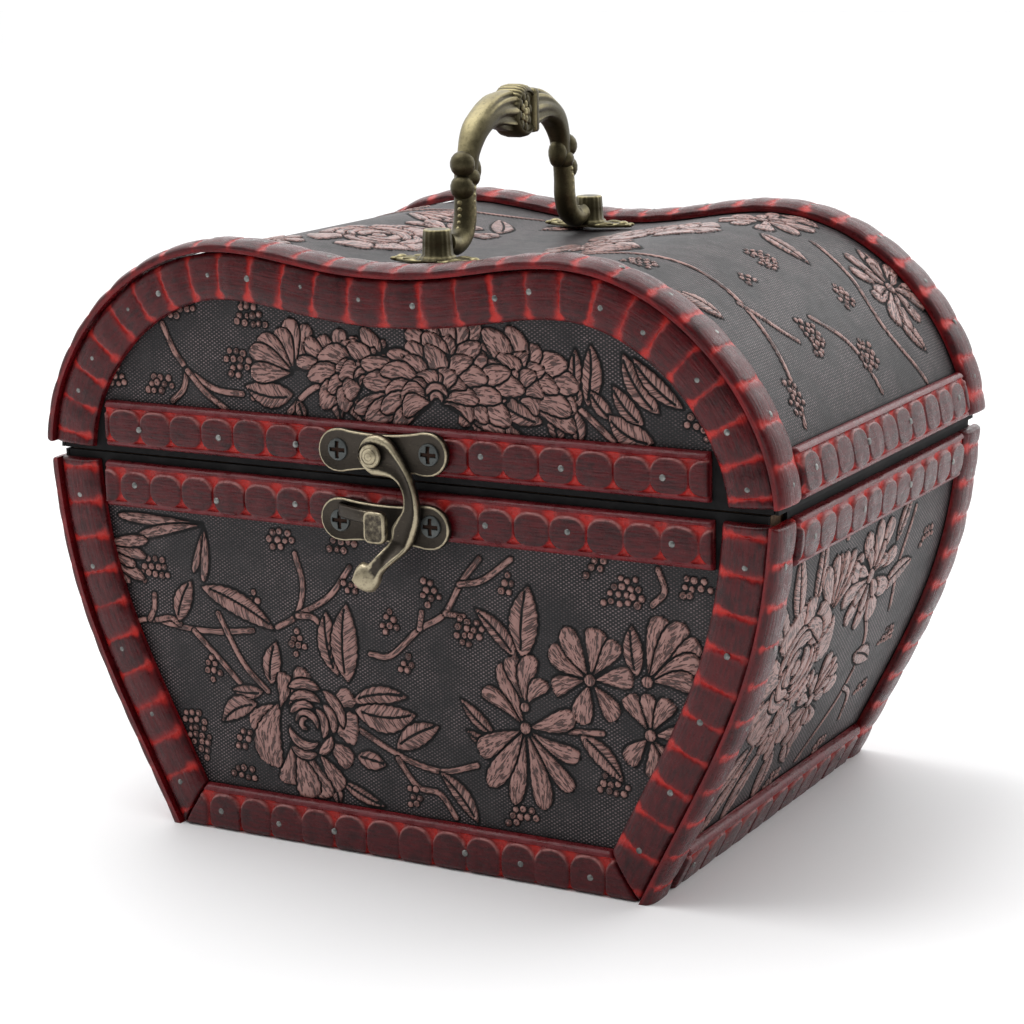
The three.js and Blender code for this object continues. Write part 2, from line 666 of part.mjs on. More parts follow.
function bail() {
  const half = bailLine();
  const line = [...half, ...mirrored(half).slice(1)];
  const last = line.length - 1;
  const edge = (sign) =>
    line.map((p, i) => {
      const before = line[Math.max(i - 1, 0)];
      const after = line[Math.min(i + 1, last)];
      const along = after.clone().sub(before).normalize();
      const out = sign * barHalfHeight(1 - Math.abs((2 * i) / last - 1));
      return vec2(p.x + along.y * out, p.y - along.x * out + bailZ);
    });
  const outline = band(edge(1), edge(-1));
  const gripLow = bailZ + 0.45 * bailTop;
  const gripZone = rectangle(-2 * BAIL_HALF, gripLow, 2 * BAIL_HALF, SKY);
  const grip = solid(slabX(outline, -GRIP_HALF_W, GRIP_HALF_W)).intersect(
    solid(slabX(gripZone, -GRIP_HALF_W, GRIP_HALF_W)),
  );
  const bossIn = BAIL_HALF + BAIL_FOOT_OUT - 1;
  const shoulder = POST_Y - POST_R - LATCH_CLEARANCE;
  const pinEnd = POST_Y - BAIL_PIN_R + BITE;
  let body = solid(slabX(outline, -LEG_HALF_W, LEG_HALF_W)).add(grip);
  for (const side of [-1, 1]) {
    const from = (a, b) => [Math.min(side * a, side * b), Math.max(side * a, side * b)];
    body = body.add(solid(rodY(BAIL_BOSS_R, 0, bailZ, ...from(bossIn, shoulder), 12)));
    const pin = rodY(BAIL_PIN_R, 0, bailZ, ...from(shoulder - BAIL_PIN_R, pinEnd), 12);
    body = body.add(solid(pin));
  }
  add(lid, "handle_bail", geometryOf(body), antiqueBrass);
}

// ---------- musical movement ----------

const pinionR = (GREAT_MODULE * TEETH_PINION) / 2;
const cylinderGearR = (CYLINDER_MODULE * TEETH_CYLINDER) / 2;
const smallR = (CYLINDER_MODULE * TEETH_SMALL) / 2;
const governorR = (GOVERNOR_MODULE * TEETH_GOVERNOR) / 2;
const fanPinionR = (GOVERNOR_MODULE * TEETH_SMALL) / 2;
const cylinderX = BARREL_X + greatR + pinionR;
const GOVERNOR_DIP = 30; // degrees below the cylinder's level
const governorReach = cylinderGearR + smallR;
const governorX = cylinderX + governorReach * Math.cos(radians(GOVERNOR_DIP));
const governorZ = gearZ - governorReach * Math.sin(radians(GOVERNOR_DIP));
const fanX = governorX + governorR + fanPinionR;

// Stations along Y, from the rear board forwards.
const REAR_SPACE = 5.5; // between the rear board and the rear upright
const WHEEL_STEP = 0.5; // between wheels that pass each other
const rearPlateY1 = -innerY - REAR_SPACE;
const rearPlateY0 = rearPlateY1 - BEDPLATE_T;
const greatY1 = rearPlateY0 - SIDE_PLAY;
const greatY0 = greatY1 - GREAT_WHEEL_T;
const barrelY0 = greatY0 - BARREL_L;
const stubPlateY1 = barrelY0 - SIDE_PLAY;
const stubPlateY0 = stubPlateY1 - UPRIGHT_T;
const cylinderY1 = greatY0 - WHEEL_STEP;
const cylinderY0 = cylinderY1 - CYLINDER_L;
const governorY1 = cylinderY0 - SIDE_PLAY;
const governorY0 = governorY1 - GOVERNOR_WHEEL_T;
const trainY1 = governorY0 - WHEEL_STEP;
const trainY0 = trainY1 - TRAIN_WHEEL_T;
const frontPlateY1 = trainY0 - SIDE_PLAY;
const frontPlateY0 = frontPlateY1 - UPRIGHT_T;
const fanY1 = frontPlateY0 - SIDE_PLAY;
const fanY0 = fanY1 - FAN_L;

// A spur gear's outline. A turn of half a tooth puts a gap where the first tooth would be.
function gearPoints(module, teeth, cx, cz, turn = 0) {
  const pitch = (module * teeth) / 2;
  const tip = pitch + 0.85 * module;
  const foot = pitch - 1.1 * module;
  const tipShare = 0.11; // half a tooth's width at its tip and at its foot, in tooth steps
  const footShare = 0.3;
  const corners = [[foot, -footShare], [tip, -tipShare], [tip, tipShare], [foot, footShare]];
  const step = (2 * Math.PI) / teeth;
  const points = [];
  for (let i = 0; i < teeth; i++) {
    for (const [r, share] of corners) {
      const a = turn + (i + share) * step;
      points.push(vec2(cx + r * Math.cos(a), cz + r * Math.sin(a)));
    }
  }
  return points;
}

const halfTooth = (teeth) => Math.PI / teeth;

function springBarrel() {
  const wheel = slabY(gearPoints(GREAT_MODULE, TEETH_GREAT, BARREL_X, gearZ), greatY0, greatY1);
  const drum = rodY(BARREL_R, BARREL_X, gearZ, barrelY0, greatY0 + BITE, 32);
  const bore = rodY(ARBOR_R + SHAFT_CLEARANCE, BARREL_X, gearZ, barrelY0 - 1, greatY1 + 1);
  add(chest, "spring_barrel", geometryOf(cut(join(wheel, drum), bore)), brass);
}

function musicCylinder() {
  const facing = Math.PI + halfTooth(TEETH_PINION);
  const pinion = gearPoints(GREAT_MODULE, TEETH_PINION, cylinderX, gearZ, facing);
  const meshAngle = -radians(GOVERNOR_DIP);
  const gear = gearPoints(CYLINDER_MODULE, TEETH_CYLINDER, cylinderX, gearZ, meshAngle);
  const body = join(
    slabY(pinion, greatY0, greatY1),
    rodY(CYLINDER_R, cylinderX, gearZ, cylinderY0, cylinderY1, 32),
    slabY(gear, trainY0, trainY1),
    rodY(SHAFT_R, cylinderX, gearZ, frontPlateY0 - SHAFT_END, rearPlateY1 + SHAFT_END, 12),
  );
  add(chest, "music_cylinder", geometryOf(body), brass);
}

function governor() {
  const facing = Math.PI - radians(GOVERNOR_DIP) + halfTooth(TEETH_SMALL);
  const pinion = gearPoints(CYLINDER_MODULE, TEETH_SMALL, governorX, governorZ, facing);
  const wheel = gearPoints(GOVERNOR_MODULE, TEETH_GOVERNOR, governorX, governorZ);
  const backEnd = governorY1 + SHAFT_END;
  const frontEnd = frontPlateY0 - SHAFT_END;
  const gear = join(
    slabY(pinion, trainY0, governorY0 + BITE),
    slabY(wheel, governorY0, governorY1),
    rodY(GOVERNOR_SHAFT_R, governorX, governorZ, frontEnd, backEnd, 12),
  );
  add(chest, "governor_gear", geometryOf(gear), brass);
  const fanFacing = Math.PI + halfTooth(TEETH_SMALL);
  const fanPinion = gearPoints(GOVERNOR_MODULE, TEETH_SMALL, fanX, governorZ, fanFacing);
  const thick = FAN_BLADE_T / 2;
  const blade = rectangle(fanX - FAN_HALF, governorZ - thick, fanX + FAN_HALF, governorZ + thick);
  const fan = join(
    slabY(fanPinion, governorY0, governorY1),
    rodY(FAN_SHAFT_R, fanX, governorZ, fanY0, backEnd, 10),
    slabY(blade, fanY0, fanY1),
  );
  add(chest, "governor_fan", geometryOf(fan), steel);
}

// An upright of the movement's frame, round the given holes, which are [x, z, margin].
function upright(y0, y1, ...holes) {
  const x0 = Math.min(...holes.map(([x, , margin]) => x - margin));
  const x1 = Math.max(...holes.map(([x, , margin]) => x + margin));
  const top = Math.max(...holes.map(([, z, margin]) => z + margin));
  return slabY(rectangle(x0, bedTop - BEDPLATE_T / 2, x1, top), y0, y1);
}

function movementFrame() {
  const low = floorTop + LAYER_GAP;
  const margin = 3;
  const right = fanX + governorR + margin;
  const left = BARREL_X - greatR - margin;
  const far = [fanY0 - margin, rearPlateY1 + margin];
  const frame = cut(
    join(
      slab(rectangle(left, fanY0 - 1, right, rearPlateY1), BEDPLATE_T).translate(0, 0, low),
      upright(rearPlateY0, rearPlateY1, [BARREL_X, gearZ, 6], [cylinderX, gearZ, 5]),
      upright(stubPlateY0, stubPlateY1, [BARREL_X, gearZ, 5]),
      upright(frontPlateY0, frontPlateY1, [cylinderX, gearZ, 4], [fanX, governorZ, 4]),
    ),
    rodY(ARBOR_R + SHAFT_CLEARANCE, BARREL_X, gearZ, ...far),
    rodY(SHAFT_R + SHAFT_CLEARANCE, cylinderX, gearZ, ...far),
    rodY(GOVERNOR_SHAFT_R + SHAFT_CLEARANCE, governorX, governorZ, ...far),
    rodY(FAN_SHAFT_R + SHAFT_CLEARANCE, fanX, governorZ, ...far),
  );
  add(chest, "movement_frame", geometryOf(frame), castZinc);
}

function comb() {
  const tipX = cylinderX + CYLINDER_R + COMB_GAP;
  const rootX = tipX + TOOTH_L;
  const endX = rootX + COMB_ROOT_W;
  const z0 = gearZ - COMB_T / 2;
  const start = cylinderY0 + SIDE_PLAY;
  const length = CYLINDER_L - 2 * SIDE_PLAY;
  const pitch = length / COMB_TEETH;
  const outline = [vec2(endX, start), vec2(endX, start + length)];
  for (let i = COMB_TEETH - 1; i >= 0; i--) {
    const first = i === 0;
    const last = i === COMB_TEETH - 1;
    const y0 = start + i * pitch + (first ? 0 : TOOTH_SLOT / 2);
    const y1 = start + (i + 1) * pitch - (last ? 0 : TOOTH_SLOT / 2);
    const slotEnd = rootX - TOOTH_TAPER * (1 - i / COMB_TEETH);
    if (!last) outline.push(vec2(slotEnd, y1));
    outline.push(vec2(tipX, y1), vec2(tipX, y0));
    if (!first) outline.push(vec2(slotEnd, y0));
  }
  const plate = slab(outline, COMB_T).translate(0, 0, z0);
  const footLow = bedTop + LAYER_GAP;
  const footShape = rectangle(rootX + 1, start, endX, start + length);
  const foot = slab(footShape, z0 - footLow + BITE).translate(0, 0, footLow);
  add(chest, "comb", geometryOf(join(plate, foot)), steel);
}

const KEY_CLEAR = 2.5; // between the back of the box and the key
const KEY_GRIP = 2; // how far the arbor reaches into the key
const SOCKET_FLOOR = 4; // from the arbor's end to the bow
const arborFrontY = stubPlateY0 - SHAFT_END;
const keyY0 = -faceY + KEY_CLEAR;
const arborEndY = keyY0 + KEY_GRIP;

function windingKey() {
  const arbor = rodY(ARBOR_R, BARREL_X, gearZ, arborFrontY, arborEndY, 16);
  add(chest, "winding_arbor", arbor, steel);
  const socketR = ARBOR_R + KEY_WALL;
  const socketY1 = arborEndY + SOCKET_FLOOR;
  const bow = new THREE.Shape();
  const lobeX = KEY_HALF_SPAN - KEY_BOW_R;
  const lobeY = socketY1 + KEY_BOW_R;
  bow.absarc(BARREL_X + lobeX, lobeY, KEY_BOW_R, -0.8 * Math.PI, 0.75 * Math.PI, false);
  bow.absarc(BARREL_X - lobeX, lobeY, KEY_BOW_R, 0.25 * Math.PI, 1.8 * Math.PI, false);
  bow.lineTo(BARREL_X - socketR, socketY1 - KEY_BOW_T);
  bow.lineTo(BARREL_X + socketR, socketY1 - KEY_BOW_T);
  const wings = slab(bow.getPoints(8), KEY_BOW_T).translate(0, 0, gearZ - KEY_BOW_T / 2);
  const key = cut(
    join(rodY(socketR, BARREL_X, gearZ, keyY0, socketY1, 16), wings),
    rodY(ARBOR_R + LAYER_GAP, BARREL_X, gearZ, keyY0 - 1, arborEndY + LAYER_GAP, 16),
  );
  add(chest, "winding_key", geometryOf(key), brass);
}

// ---------- compartment over and before the movement ----------

const coverZ = gearZ + greatR + GREAT_MODULE + 3;

function compartment() {
  const wallY1 = fanY0 - 2;
  const wallY0 = wallY1 - WALL_T;
  const clear = boardBack - LAYER_GAP;
  const low = floorTop + LAYER_GAP;
  const deckTop = coverZ + WALL_T;
  const right = bodyEdge(clear, low, deckTop);
  const wall = [...right, ...mirrored(right)];
  addSlabY(chest, "compartment_wall", wall, wallY0, wallY1, velvet);
  const deckRight = bodyEdge(clear, coverZ, deckTop);
  const deck = [...deckRight, ...mirrored(deckRight)];
  addSlabY(chest, "movement_cover", deck, wallY1 + LAYER_GAP, -innerY, velvet);
}

bodyBoards();
bodyCovering();
lidBoards();
lidCovering();
bodyFaceStrips();
bodySideStrips();
lidStrips();
hinges();
latch();
handleMounts();
bail();
movementFrame();
springBarrel();
musicCylinder();
comb();
governor();
windingKey();
compartment();

export default root;
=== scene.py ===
"""Looks for a wind up music box: a flared chest in embossed leatherette, edged with carved red
strips, with a swing latch, a cast handle, two hinges and a key-wound movement inside.

Outlines are worked out in millimetres and turned into metres when a mesh is made. +X is to the
right, +Y to the rear and +Z up, and the origin is the centre of the underside.
"""

import math

import bmesh
import bpy
import numpy as np
from mathutils import Matrix, Vector

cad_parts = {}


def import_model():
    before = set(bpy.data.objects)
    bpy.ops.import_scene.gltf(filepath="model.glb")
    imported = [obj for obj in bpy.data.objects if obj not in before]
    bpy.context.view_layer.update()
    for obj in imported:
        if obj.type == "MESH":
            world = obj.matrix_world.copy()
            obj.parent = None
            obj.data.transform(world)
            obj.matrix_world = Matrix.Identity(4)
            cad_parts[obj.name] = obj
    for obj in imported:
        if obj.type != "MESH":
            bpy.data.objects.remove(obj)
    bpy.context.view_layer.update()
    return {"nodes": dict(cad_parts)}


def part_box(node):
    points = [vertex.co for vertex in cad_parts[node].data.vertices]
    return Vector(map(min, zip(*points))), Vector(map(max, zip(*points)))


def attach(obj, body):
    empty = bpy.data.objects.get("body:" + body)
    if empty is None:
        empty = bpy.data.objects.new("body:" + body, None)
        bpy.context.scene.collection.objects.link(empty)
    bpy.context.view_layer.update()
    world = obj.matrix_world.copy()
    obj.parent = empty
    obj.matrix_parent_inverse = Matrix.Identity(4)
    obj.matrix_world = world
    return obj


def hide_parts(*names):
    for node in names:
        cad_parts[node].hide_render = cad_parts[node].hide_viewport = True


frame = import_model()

bl_info = {
    "name": "Wind Up Music Box",
    "version": (1, 0, 0),
    "blender": (4, 5, 0),
    "location": "3D Viewport > Sidebar > Music Box",
    "description": "Builds the covering, carving and fittings of a music box around its frame",
    "category": "Object",
}

MM = 0.001


# ---------- sizes taken from the frame, in millimetres ----------

def low(node):
    return np.array(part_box(node)[0]) / MM


def high(node):
    return np.array(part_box(node)[1]) / MM


SEAM_Z = (high("right_covering")[2] + low("lid_top_covering")[2]) / 2
CREST_Z = high("lid_top_covering")[2]
SEAM_HALF = high("right_covering")[0]
LID_HALF = high("lid_top_covering")[0]
STRIP_FACE = low("front_base_strip")[1]
STRIP_T = high("front_base_strip")[1] - STRIP_FACE
STRIP_W = high("front_base_strip")[2]
BODY_STRIP_TOP = high("front_seam_strip")[2]
LID_STRIP_LOW = low("lid_front_seam_strip")[2]
COVER_FACE = low("front_covering")[1]
COVER_T = high("front_covering")[1] - COVER_FACE
LAYER_GAP = COVER_FACE - STRIP_FACE - STRIP_T
SKIRT = low("front_covering")[2]
FLARE_LEAN = math.radians(26.5)
SEAM_LEAN = math.radians(3)
BASE_HALF = low("right_front_strip")[0] - LAYER_GAP / math.cos(FLARE_LEAN)
HUMP_X = 38  # from the middle to each crest of the lid
VALLEY = 3.7  # from the crests down to the valley between them
LINING_MIDDLE = 0.62  # height of the inside's middle, as a share of the seam's height


# ---------- outlines of body and lid, as the frame's curves ----------

def bezier(p0, p1, p2, p3, steps):
    t = np.linspace(0, 1, steps + 1)[:, None]
    p0, p1, p2, p3 = (np.array(p, float) for p in (p0, p1, p2, p3))
    s = 1 - t
    return s**3 * p0 + 3 * s * s * t * p1 + 3 * s * t * t * p2 + t**3 * p3


class Outline:
    """A smooth line in X and Z, read by its length, with the way that faces out of the box."""

    def __init__(self, points):
        self.points = points
        steps = np.linalg.norm(np.diff(points, axis=0), axis=1)
        self.at = np.concatenate([[0], np.cumsum(steps)])
        self.length = self.at[-1]
        along = np.gradient(points, self.at, axis=0)
        along /= np.linalg.norm(along, axis=1)[:, None]
        self.outward = np.stack([along[:, 1], -along[:, 0]], 1)

    def place(self, u, out=0.0):
        """Points at lengths u along the line, moved out by a distance."""
        x, z, nx, nz = (
            np.interp(u, self.at, line)
            for line in (*self.points.T, *self.outward.T)
        )
        return x + nx * out, z + nz * out

    def reach(self, height, out=0.0):
        """The length at which the line, moved out, first comes to a height."""
        z = self.points[:, 1] + self.outward[:, 1] * out
        rising = np.argmax(z) + 1
        return float(np.interp(height, z[:rising], self.at[:rising]))


def body_outline():
    rise = SEAM_Z
    foot = (BASE_HALF + 0.47 * rise * math.sin(FLARE_LEAN), 0.47 * rise * math.cos(FLARE_LEAN))
    neck = (SEAM_HALF - 0.42 * rise * math.sin(SEAM_LEAN), 0.58 * rise)
    return bezier((BASE_HALF, 0), foot, neck, (SEAM_HALF, SEAM_Z), 240)


def lid_outline():
    rise = CREST_Z - SEAM_Z
    valley_z = CREST_Z - VALLEY
    shoulder = bezier(
        (LID_HALF, SEAM_Z),
        (LID_HALF, SEAM_Z + 0.43 * rise),
        (HUMP_X + 0.58 * (LID_HALF - HUMP_X), CREST_Z),
        (HUMP_X, CREST_Z),
        160,
    )
    crest = bezier(
        (HUMP_X, CREST_Z), (0.68 * HUMP_X, CREST_Z), (0.45 * HUMP_X, valley_z), (0, valley_z), 90
    )
    right = np.vstack([shoulder, crest[1:]])
    left = right[::-1][1:] * (-1, 1)
    return np.vstack([right, left])


BODY_SIDE = Outline(body_outline())
LID_ARCH = Outline(lid_outline())


def body_half(z, out=0.0):
    """Half the body's width at a height."""
    x, heights = BODY_SIDE.points.T
    return np.interp(z, heights, x) + out


def lid_top_z(x, out=0.0):
    """Height of the lid's arch over a place along X, with the arch moved out."""
    px, pz = LID_ARCH.place(LID_ARCH.at, out)
    return np.interp(x, px[::-1], pz[::-1])


# ---------- mesh helpers ----------

def smoothstep(low_edge, high_edge, value):
    t = np.clip((value - low_edge) / (high_edge - low_edge), 0, 1)
    return t * t * (3 - 2 * t)


def polar(centre, angle, reach, reach_up=None):
    """The place at an angle in radians from a centre. The reach may differ upwards."""
    up = reach if reach_up is None else reach_up
    return centre[0] + reach * math.cos(angle), centre[1] + up * math.sin(angle)


def power(value, exponent):
    """A power that keeps the sign."""
    return np.sign(value) * np.abs(value)**exponent


def mesh_piece(name, points, faces, material, attributes=None, smooth=True, sharp_angle=40):
    """A mesh object from points in millimetres, with faces turned outwards."""
    mesh = bpy.data.meshes.new(name)
    mesh.from_pydata((np.asarray(points, float) * MM).tolist(), [], faces)
    for key, values in (attributes or {}).items():
        values = np.asarray(values, np.float32)
        kind, field = ("FLOAT", "value") if values.ndim == 1 else ("FLOAT_VECTOR", "vector")
        mesh.attributes.new(key, kind, "POINT").data.foreach_set(field, values.ravel())
    work = bmesh.new()
    work.from_mesh(mesh)
    bmesh.ops.recalc_face_normals(work, faces=work.faces)
    work.to_mesh(mesh)
    work.free()
    if smooth:
        mesh.shade_smooth()
        mesh.set_sharp_from_angle(angle=math.radians(sharp_angle))
    mesh.materials.append(material)
    piece = bpy.data.objects.new(name, mesh)
    bpy.context.scene.collection.objects.link(piece)
    return piece


def grid_faces(rows, columns, closed=False):
    """Quads of a grid of points counted row by row. A closed grid joins its last column to its first."""
    spans = columns if closed else columns - 1
    r, c = np.meshgrid(np.arange(rows - 1), np.arange(spans), indexing="ij")
    a = r * columns + c
    b = r * columns + (c + 1) % columns
    return np.stack([a, b, b + columns, a + columns], -1).reshape(-1, 4).tolist()


def loft(sections):
    """Points and faces of a solid through closed sections, with flat ends."""
    sections = np.asarray(sections, float)
    rows, columns, _ = sections.shape
    faces = grid_faces(rows, columns, closed=True)
    faces.append(list(range(columns)))
    faces.append([(rows - 1) * columns + i for i in range(columns)])
    return sections.reshape(-1, 3), faces


def merged(*parts):
    """One list of points, faces and wear from several (points, faces, wear) parts."""
    points, faces, wear = [], [], []
    count = 0
    for part_points, part_faces, part_wear in parts:
        part_points = np.asarray(part_points, float)
        points.append(part_points)
        faces += [[count + i for i in face] for face in part_faces]
        wear.append(np.broadcast_to(np.asarray(part_wear, float), (len(part_points),)))
        count += len(part_points)
    return np.vstack(points), faces, np.concatenate(wear)


def smooth_line(points, count):
    """A Catmull-Rom line through points, at even spacing."""
    p = np.asarray(points, float)
    p = np.vstack([2 * p[0] - p[1], p, 2 * p[-1] - p[-2]])
    t = np.linspace(0, 1, 17)[:-1, None]
    spans = []
    for a, b, c, d in zip(p, p[1:], p[2:], p[3:]):
        spans.append(
            0.5 * (2 * b + (c - a) * t + (2 * a - 5 * b + 4 * c - d) * t**2
                   + (3 * b - a - 3 * c + d) * t**3)
        )
    line = np.vstack([*spans, p[-2]])
    at = np.concatenate([[0], np.cumsum(np.linalg.norm(np.diff(line, axis=0), axis=1))])
    where = np.linspace(0, at[-1], count)
    return np.stack([np.interp(where, at, column) for column in line.T], 1)


# ---------- shader helpers ----------

def new_material(name):
    material = bpy.data.materials.new(name)
    material.use_nodes = True
    tree = material.node_tree
    return material, tree, tree.nodes["Principled BSDF"]


def put(tree, kind, inputs=None, **settings):
    """Adds a shader node. An input is given a number, or is linked if it is given a socket."""
    made = tree.nodes.new("ShaderNode" + kind)
    for key, value in settings.items():
        setattr(made, key, value)
    for key, value in (inputs or {}).items():
        if isinstance(value, bpy.types.NodeSocket):
            tree.links.new(value, made.inputs[key])
        else:
            made.inputs[key].default_value = value
    return made


def maths(tree, operation, a, b=0.0):
    return put(tree, "Math", {0: a, 1: b}, operation=operation).outputs[0]


def times(tree, a, b):
    return maths(tree, "MULTIPLY", a, b)


def plus(tree, a, b):
    return maths(tree, "ADD", a, b)


def scaled(tree, vector, factors):
    """A vector with each part multiplied by its own factor."""
    return put(tree, "VectorMath", {0: vector, 1: factors}, operation="MULTIPLY").outputs[0]


def attribute(tree, name, output="Fac"):
    return put(tree, "Attribute", attribute_name=name).outputs[output]


def noise(tree, vector, scale, detail=3.0, roughness=0.55):
    inputs = {"Vector": vector, "Scale": scale, "Detail": detail, "Roughness": roughness}
    return put(tree, "TexNoise", inputs).outputs["Fac"]


def ramp(tree, value, start, end, out_start=0.0, out_end=1.0):
    inputs = {0: value, 1: start, 2: end, 3: out_start, 4: out_end}
    return put(tree, "MapRange", inputs, interpolation_type="SMOOTHSTEP").outputs[0]


def blend(tree, factor, a, b):
    """Mixes two colours."""
    opaque = [v if isinstance(v, bpy.types.NodeSocket) else (*v, 1) for v in (a, b)]
    inputs = {0: factor, 6: opaque[0], 7: opaque[1]}
    return put(tree, "Mix", inputs, data_type="RGBA").outputs[2]


def shade(tree, shader, colour, gloss, relief, depth, strength):
    """Gives a shader its colour and roughness, and a bump of some depth in metres."""
    bump = put(tree, "Bump", {"Height": relief, "Distance": depth, "Strength": strength})
    tree.links.new(colour, shader.inputs["Base Color"])
    tree.links.new(gloss, shader.inputs["Roughness"])
    tree.links.new(bump.outputs["Normal"], shader.inputs["Normal"])


def object_place(tree, scale=1.0):
    """The place on the object in millimetres, times a scale that may differ by axis."""
    place = put(tree, "TexCoord").outputs["Object"]
    factor = [1 / MM * s for s in (scale if isinstance(scale, tuple) else (scale,) * 3)]
    return scaled(tree, place, factor)


# ---------- finishes ----------

def darker(colour, share):
    return tuple(share * c for c in colour)


def leatherette_finish(settings):
    """Charcoal cloth-grained leatherette. Raised sprays are rubbed with copper paint."""
    material, tree, shader = new_material("pressed_leatherette")
    place = attribute(tree, "place", "Vector")
    strokes = attribute(tree, "strokes", "Vector")
    raised = ramp(tree, attribute(tree, "raised"), 0.34, 0.62)
    outline = ramp(tree, attribute(tree, "outline"), 0.25, 0.75)

    axes = put(tree, "SeparateXYZ", {0: place})
    across, up = (
        maths(tree, "COSINE", times(tree, axes.outputs[axis], math.tau / repeat))
        for axis, repeat in enumerate((settings.weave_x, settings.weave_y))
    )
    broken = maths(tree, "SUBTRACT", noise(tree, place, 0.9, 2), 0.5)
    lattice = plus(tree, times(tree, across, up), times(tree, broken, 1.2))
    fleck = ramp(tree, lattice, 0.25, 0.8)
    patches = ramp(tree, noise(tree, place, 0.07, 3), 0.36, 0.62, 0.25, 1.0)
    stroke = ramp(tree, noise(tree, scaled(tree, strokes, (2.6, 0.5, 9.0)), 1.0, 2.5, 0.6), 0.42, 0.50)
    rubbed = noise(tree, place, 0.35, 4, 0.65)

    copper = blend(tree, rubbed, settings.copper_dark, settings.copper_light)
    copper = blend(tree, stroke, darker(settings.copper_dark, 0.36), copper)
    ground = blend(tree, times(tree, fleck, patches), settings.ground, settings.fleck)
    # Painted shade: the grooves, and the sheet where it runs under the strips, are darkened almost to black.
    ground = blend(tree, outline, ground, darker(settings.ground, 0.4))
    colour = blend(tree, raised, ground, copper)
    dust = ramp(tree, noise(tree, place, 0.11, 3), 0.45, 0.75, 0.0, 0.1)
    colour = blend(tree, dust, colour, (0.12, 0.105, 0.105))

    gloss = plus(tree, times(tree, rubbed, 0.2), 0.42)
    gloss = plus(tree, gloss, times(tree, outline, 0.3))
    gloss = maths(tree, "SUBTRACT", gloss, times(tree, raised, 0.2))
    flat = maths(tree, "SUBTRACT", 1.0, maths(tree, "MAXIMUM", raised, outline))
    relief = plus(tree, times(tree, fleck, flat), times(tree, times(tree, stroke, raised), 1.3))
    shader.inputs["Specular IOR Level"].default_value = 0.4
    shade(tree, shader, colour, gloss, relief, 0.0002, 0.9)
    return material


def carved_wood_finish(settings):
    """Red lacquered wood. The pillows are burnished dark and the cusps between them stay bright."""
    material, tree, shader = new_material("carved_lacquer")
    along = attribute(tree, "along", "Vector")
    pillow = ramp(tree, attribute(tree, "pillow"), 0.25, 0.8)
    cusp, rim, rail = (attribute(tree, mask) for mask in ("cusp", "rim", "rail"))

    grain = noise(tree, scaled(tree, along, (0.16, 2.2, 1.0)), 1.0, 5, 0.6)
    cloud = noise(tree, along, 0.085, 3, 0.6)
    rub = noise(tree, along, 0.42, 4, 0.65)

    red = blend(tree, ramp(tree, cloud, 0.3, 0.7), settings.red_dark, settings.red)
    red = blend(tree, ramp(tree, grain, 0.35, 0.75, 0.0, 0.45), red, settings.burnished)
    hot = times(tree, cusp, ramp(tree, rub, 0.25, 0.6, 0.45, 1.0))
    red = blend(tree, hot, red, settings.cusp_red)
    streaks = noise(tree, scaled(tree, along, (0.3, 1.7, 1.0)), 1.0, 4, 0.65)
    streaked = ramp(tree, streaks, 0.33, 0.64, 0.08, 1.0)
    face = blend(tree, streaked, settings.burnished, settings.red_dark)
    covered = times(tree, pillow, ramp(tree, cloud, 0.25, 0.6, 0.6, 1.0))
    smoke = ramp(tree, noise(tree, along, 0.2, 4, 0.7), 0.5, 0.7, 0.0, 0.6)
    colour = blend(tree, covered, red, face)
    colour = blend(tree, times(tree, pillow, smoke), colour, darker(settings.burnished, 0.45))
    # Painted sheen: the rails are lightened towards a greyish red in random patches.
    rail_sheen_tone = blend(tree, ramp(tree, rub, 0.3, 0.75), settings.red_dark, settings.rail_sheen)
    colour = blend(tree, times(tree, rail, 0.75), colour, rail_sheen_tone)
    # Painted highlight along the pillows' rims on the lit side, broken up at random.
    rim_highlight = times(tree, rim, ramp(tree, rub, 0.35, 0.62, 0.3, 1.0))
    colour = blend(tree, rim_highlight, colour, settings.rim_light)
    pits = ramp(tree, noise(tree, along, 1.9, 2), 0.7, 0.78)
    colour = blend(tree, times(tree, pits, 0.7), colour, darker(settings.burnished, 0.3))

    gloss = ramp(tree, rub, 0.2, 0.8, 0.17, 0.42)
    shader.inputs["Specular IOR Level"].default_value = 0.29
    shade(tree, shader, colour, gloss, plus(tree, grain, times(tree, rub, 0.8)), 0.00026, 0.6)
    return material


def worn_metal_finish(name, patina, bright, roughness, speckle, wear_from, mottling=0.9):
    """Cast or stamped metal whose patina is rubbed off along edges, where the wear attribute is high.

    A wear below zero marks the bottom of a recess, which is painted rusty and dark: rust, and painted shade."""
    material, tree, shader = new_material(name)
    place = object_place(tree)
    mottle = noise(tree, place, 0.7, 5, 0.65)
    scuffs = noise(tree, object_place(tree, (0.5, 1.1, 3.2)), 1.3, 4, 0.6)
    given = attribute(tree, "wear")
    wear = plus(tree, given, times(tree, maths(tree, "SUBTRACT", mottle, 0.5), mottling))
    rubbed = ramp(tree, wear, wear_from, wear_from + 0.5)
    rubbed = maths(tree, "MAXIMUM", rubbed, ramp(tree, scuffs, 0.6, 0.85, 0.0, speckle))
    colour = blend(tree, rubbed, patina, bright)
    grime = ramp(tree, noise(tree, place, 1.6, 4, 0.7), 0.5, 0.7, 0.0, 0.45)
    colour = blend(tree, grime, colour, darker(patina, 0.5))
    # Rust and painted shade at the bottom of recesses, such as the screws' cross slots.
    recess = ramp(tree, given, -0.5, -0.1, 1.0, 0.0)
    colour = blend(tree, recess, colour, (0.022, 0.010, 0.006))
    shader.inputs["Metallic"].default_value = 0.85
    gloss = plus(tree, times(tree, mottle, 0.28), roughness - 0.14)
    shade(tree, shader, colour, gloss, plus(tree, mottle, scuffs), 0.0001, 0.5)
    return material


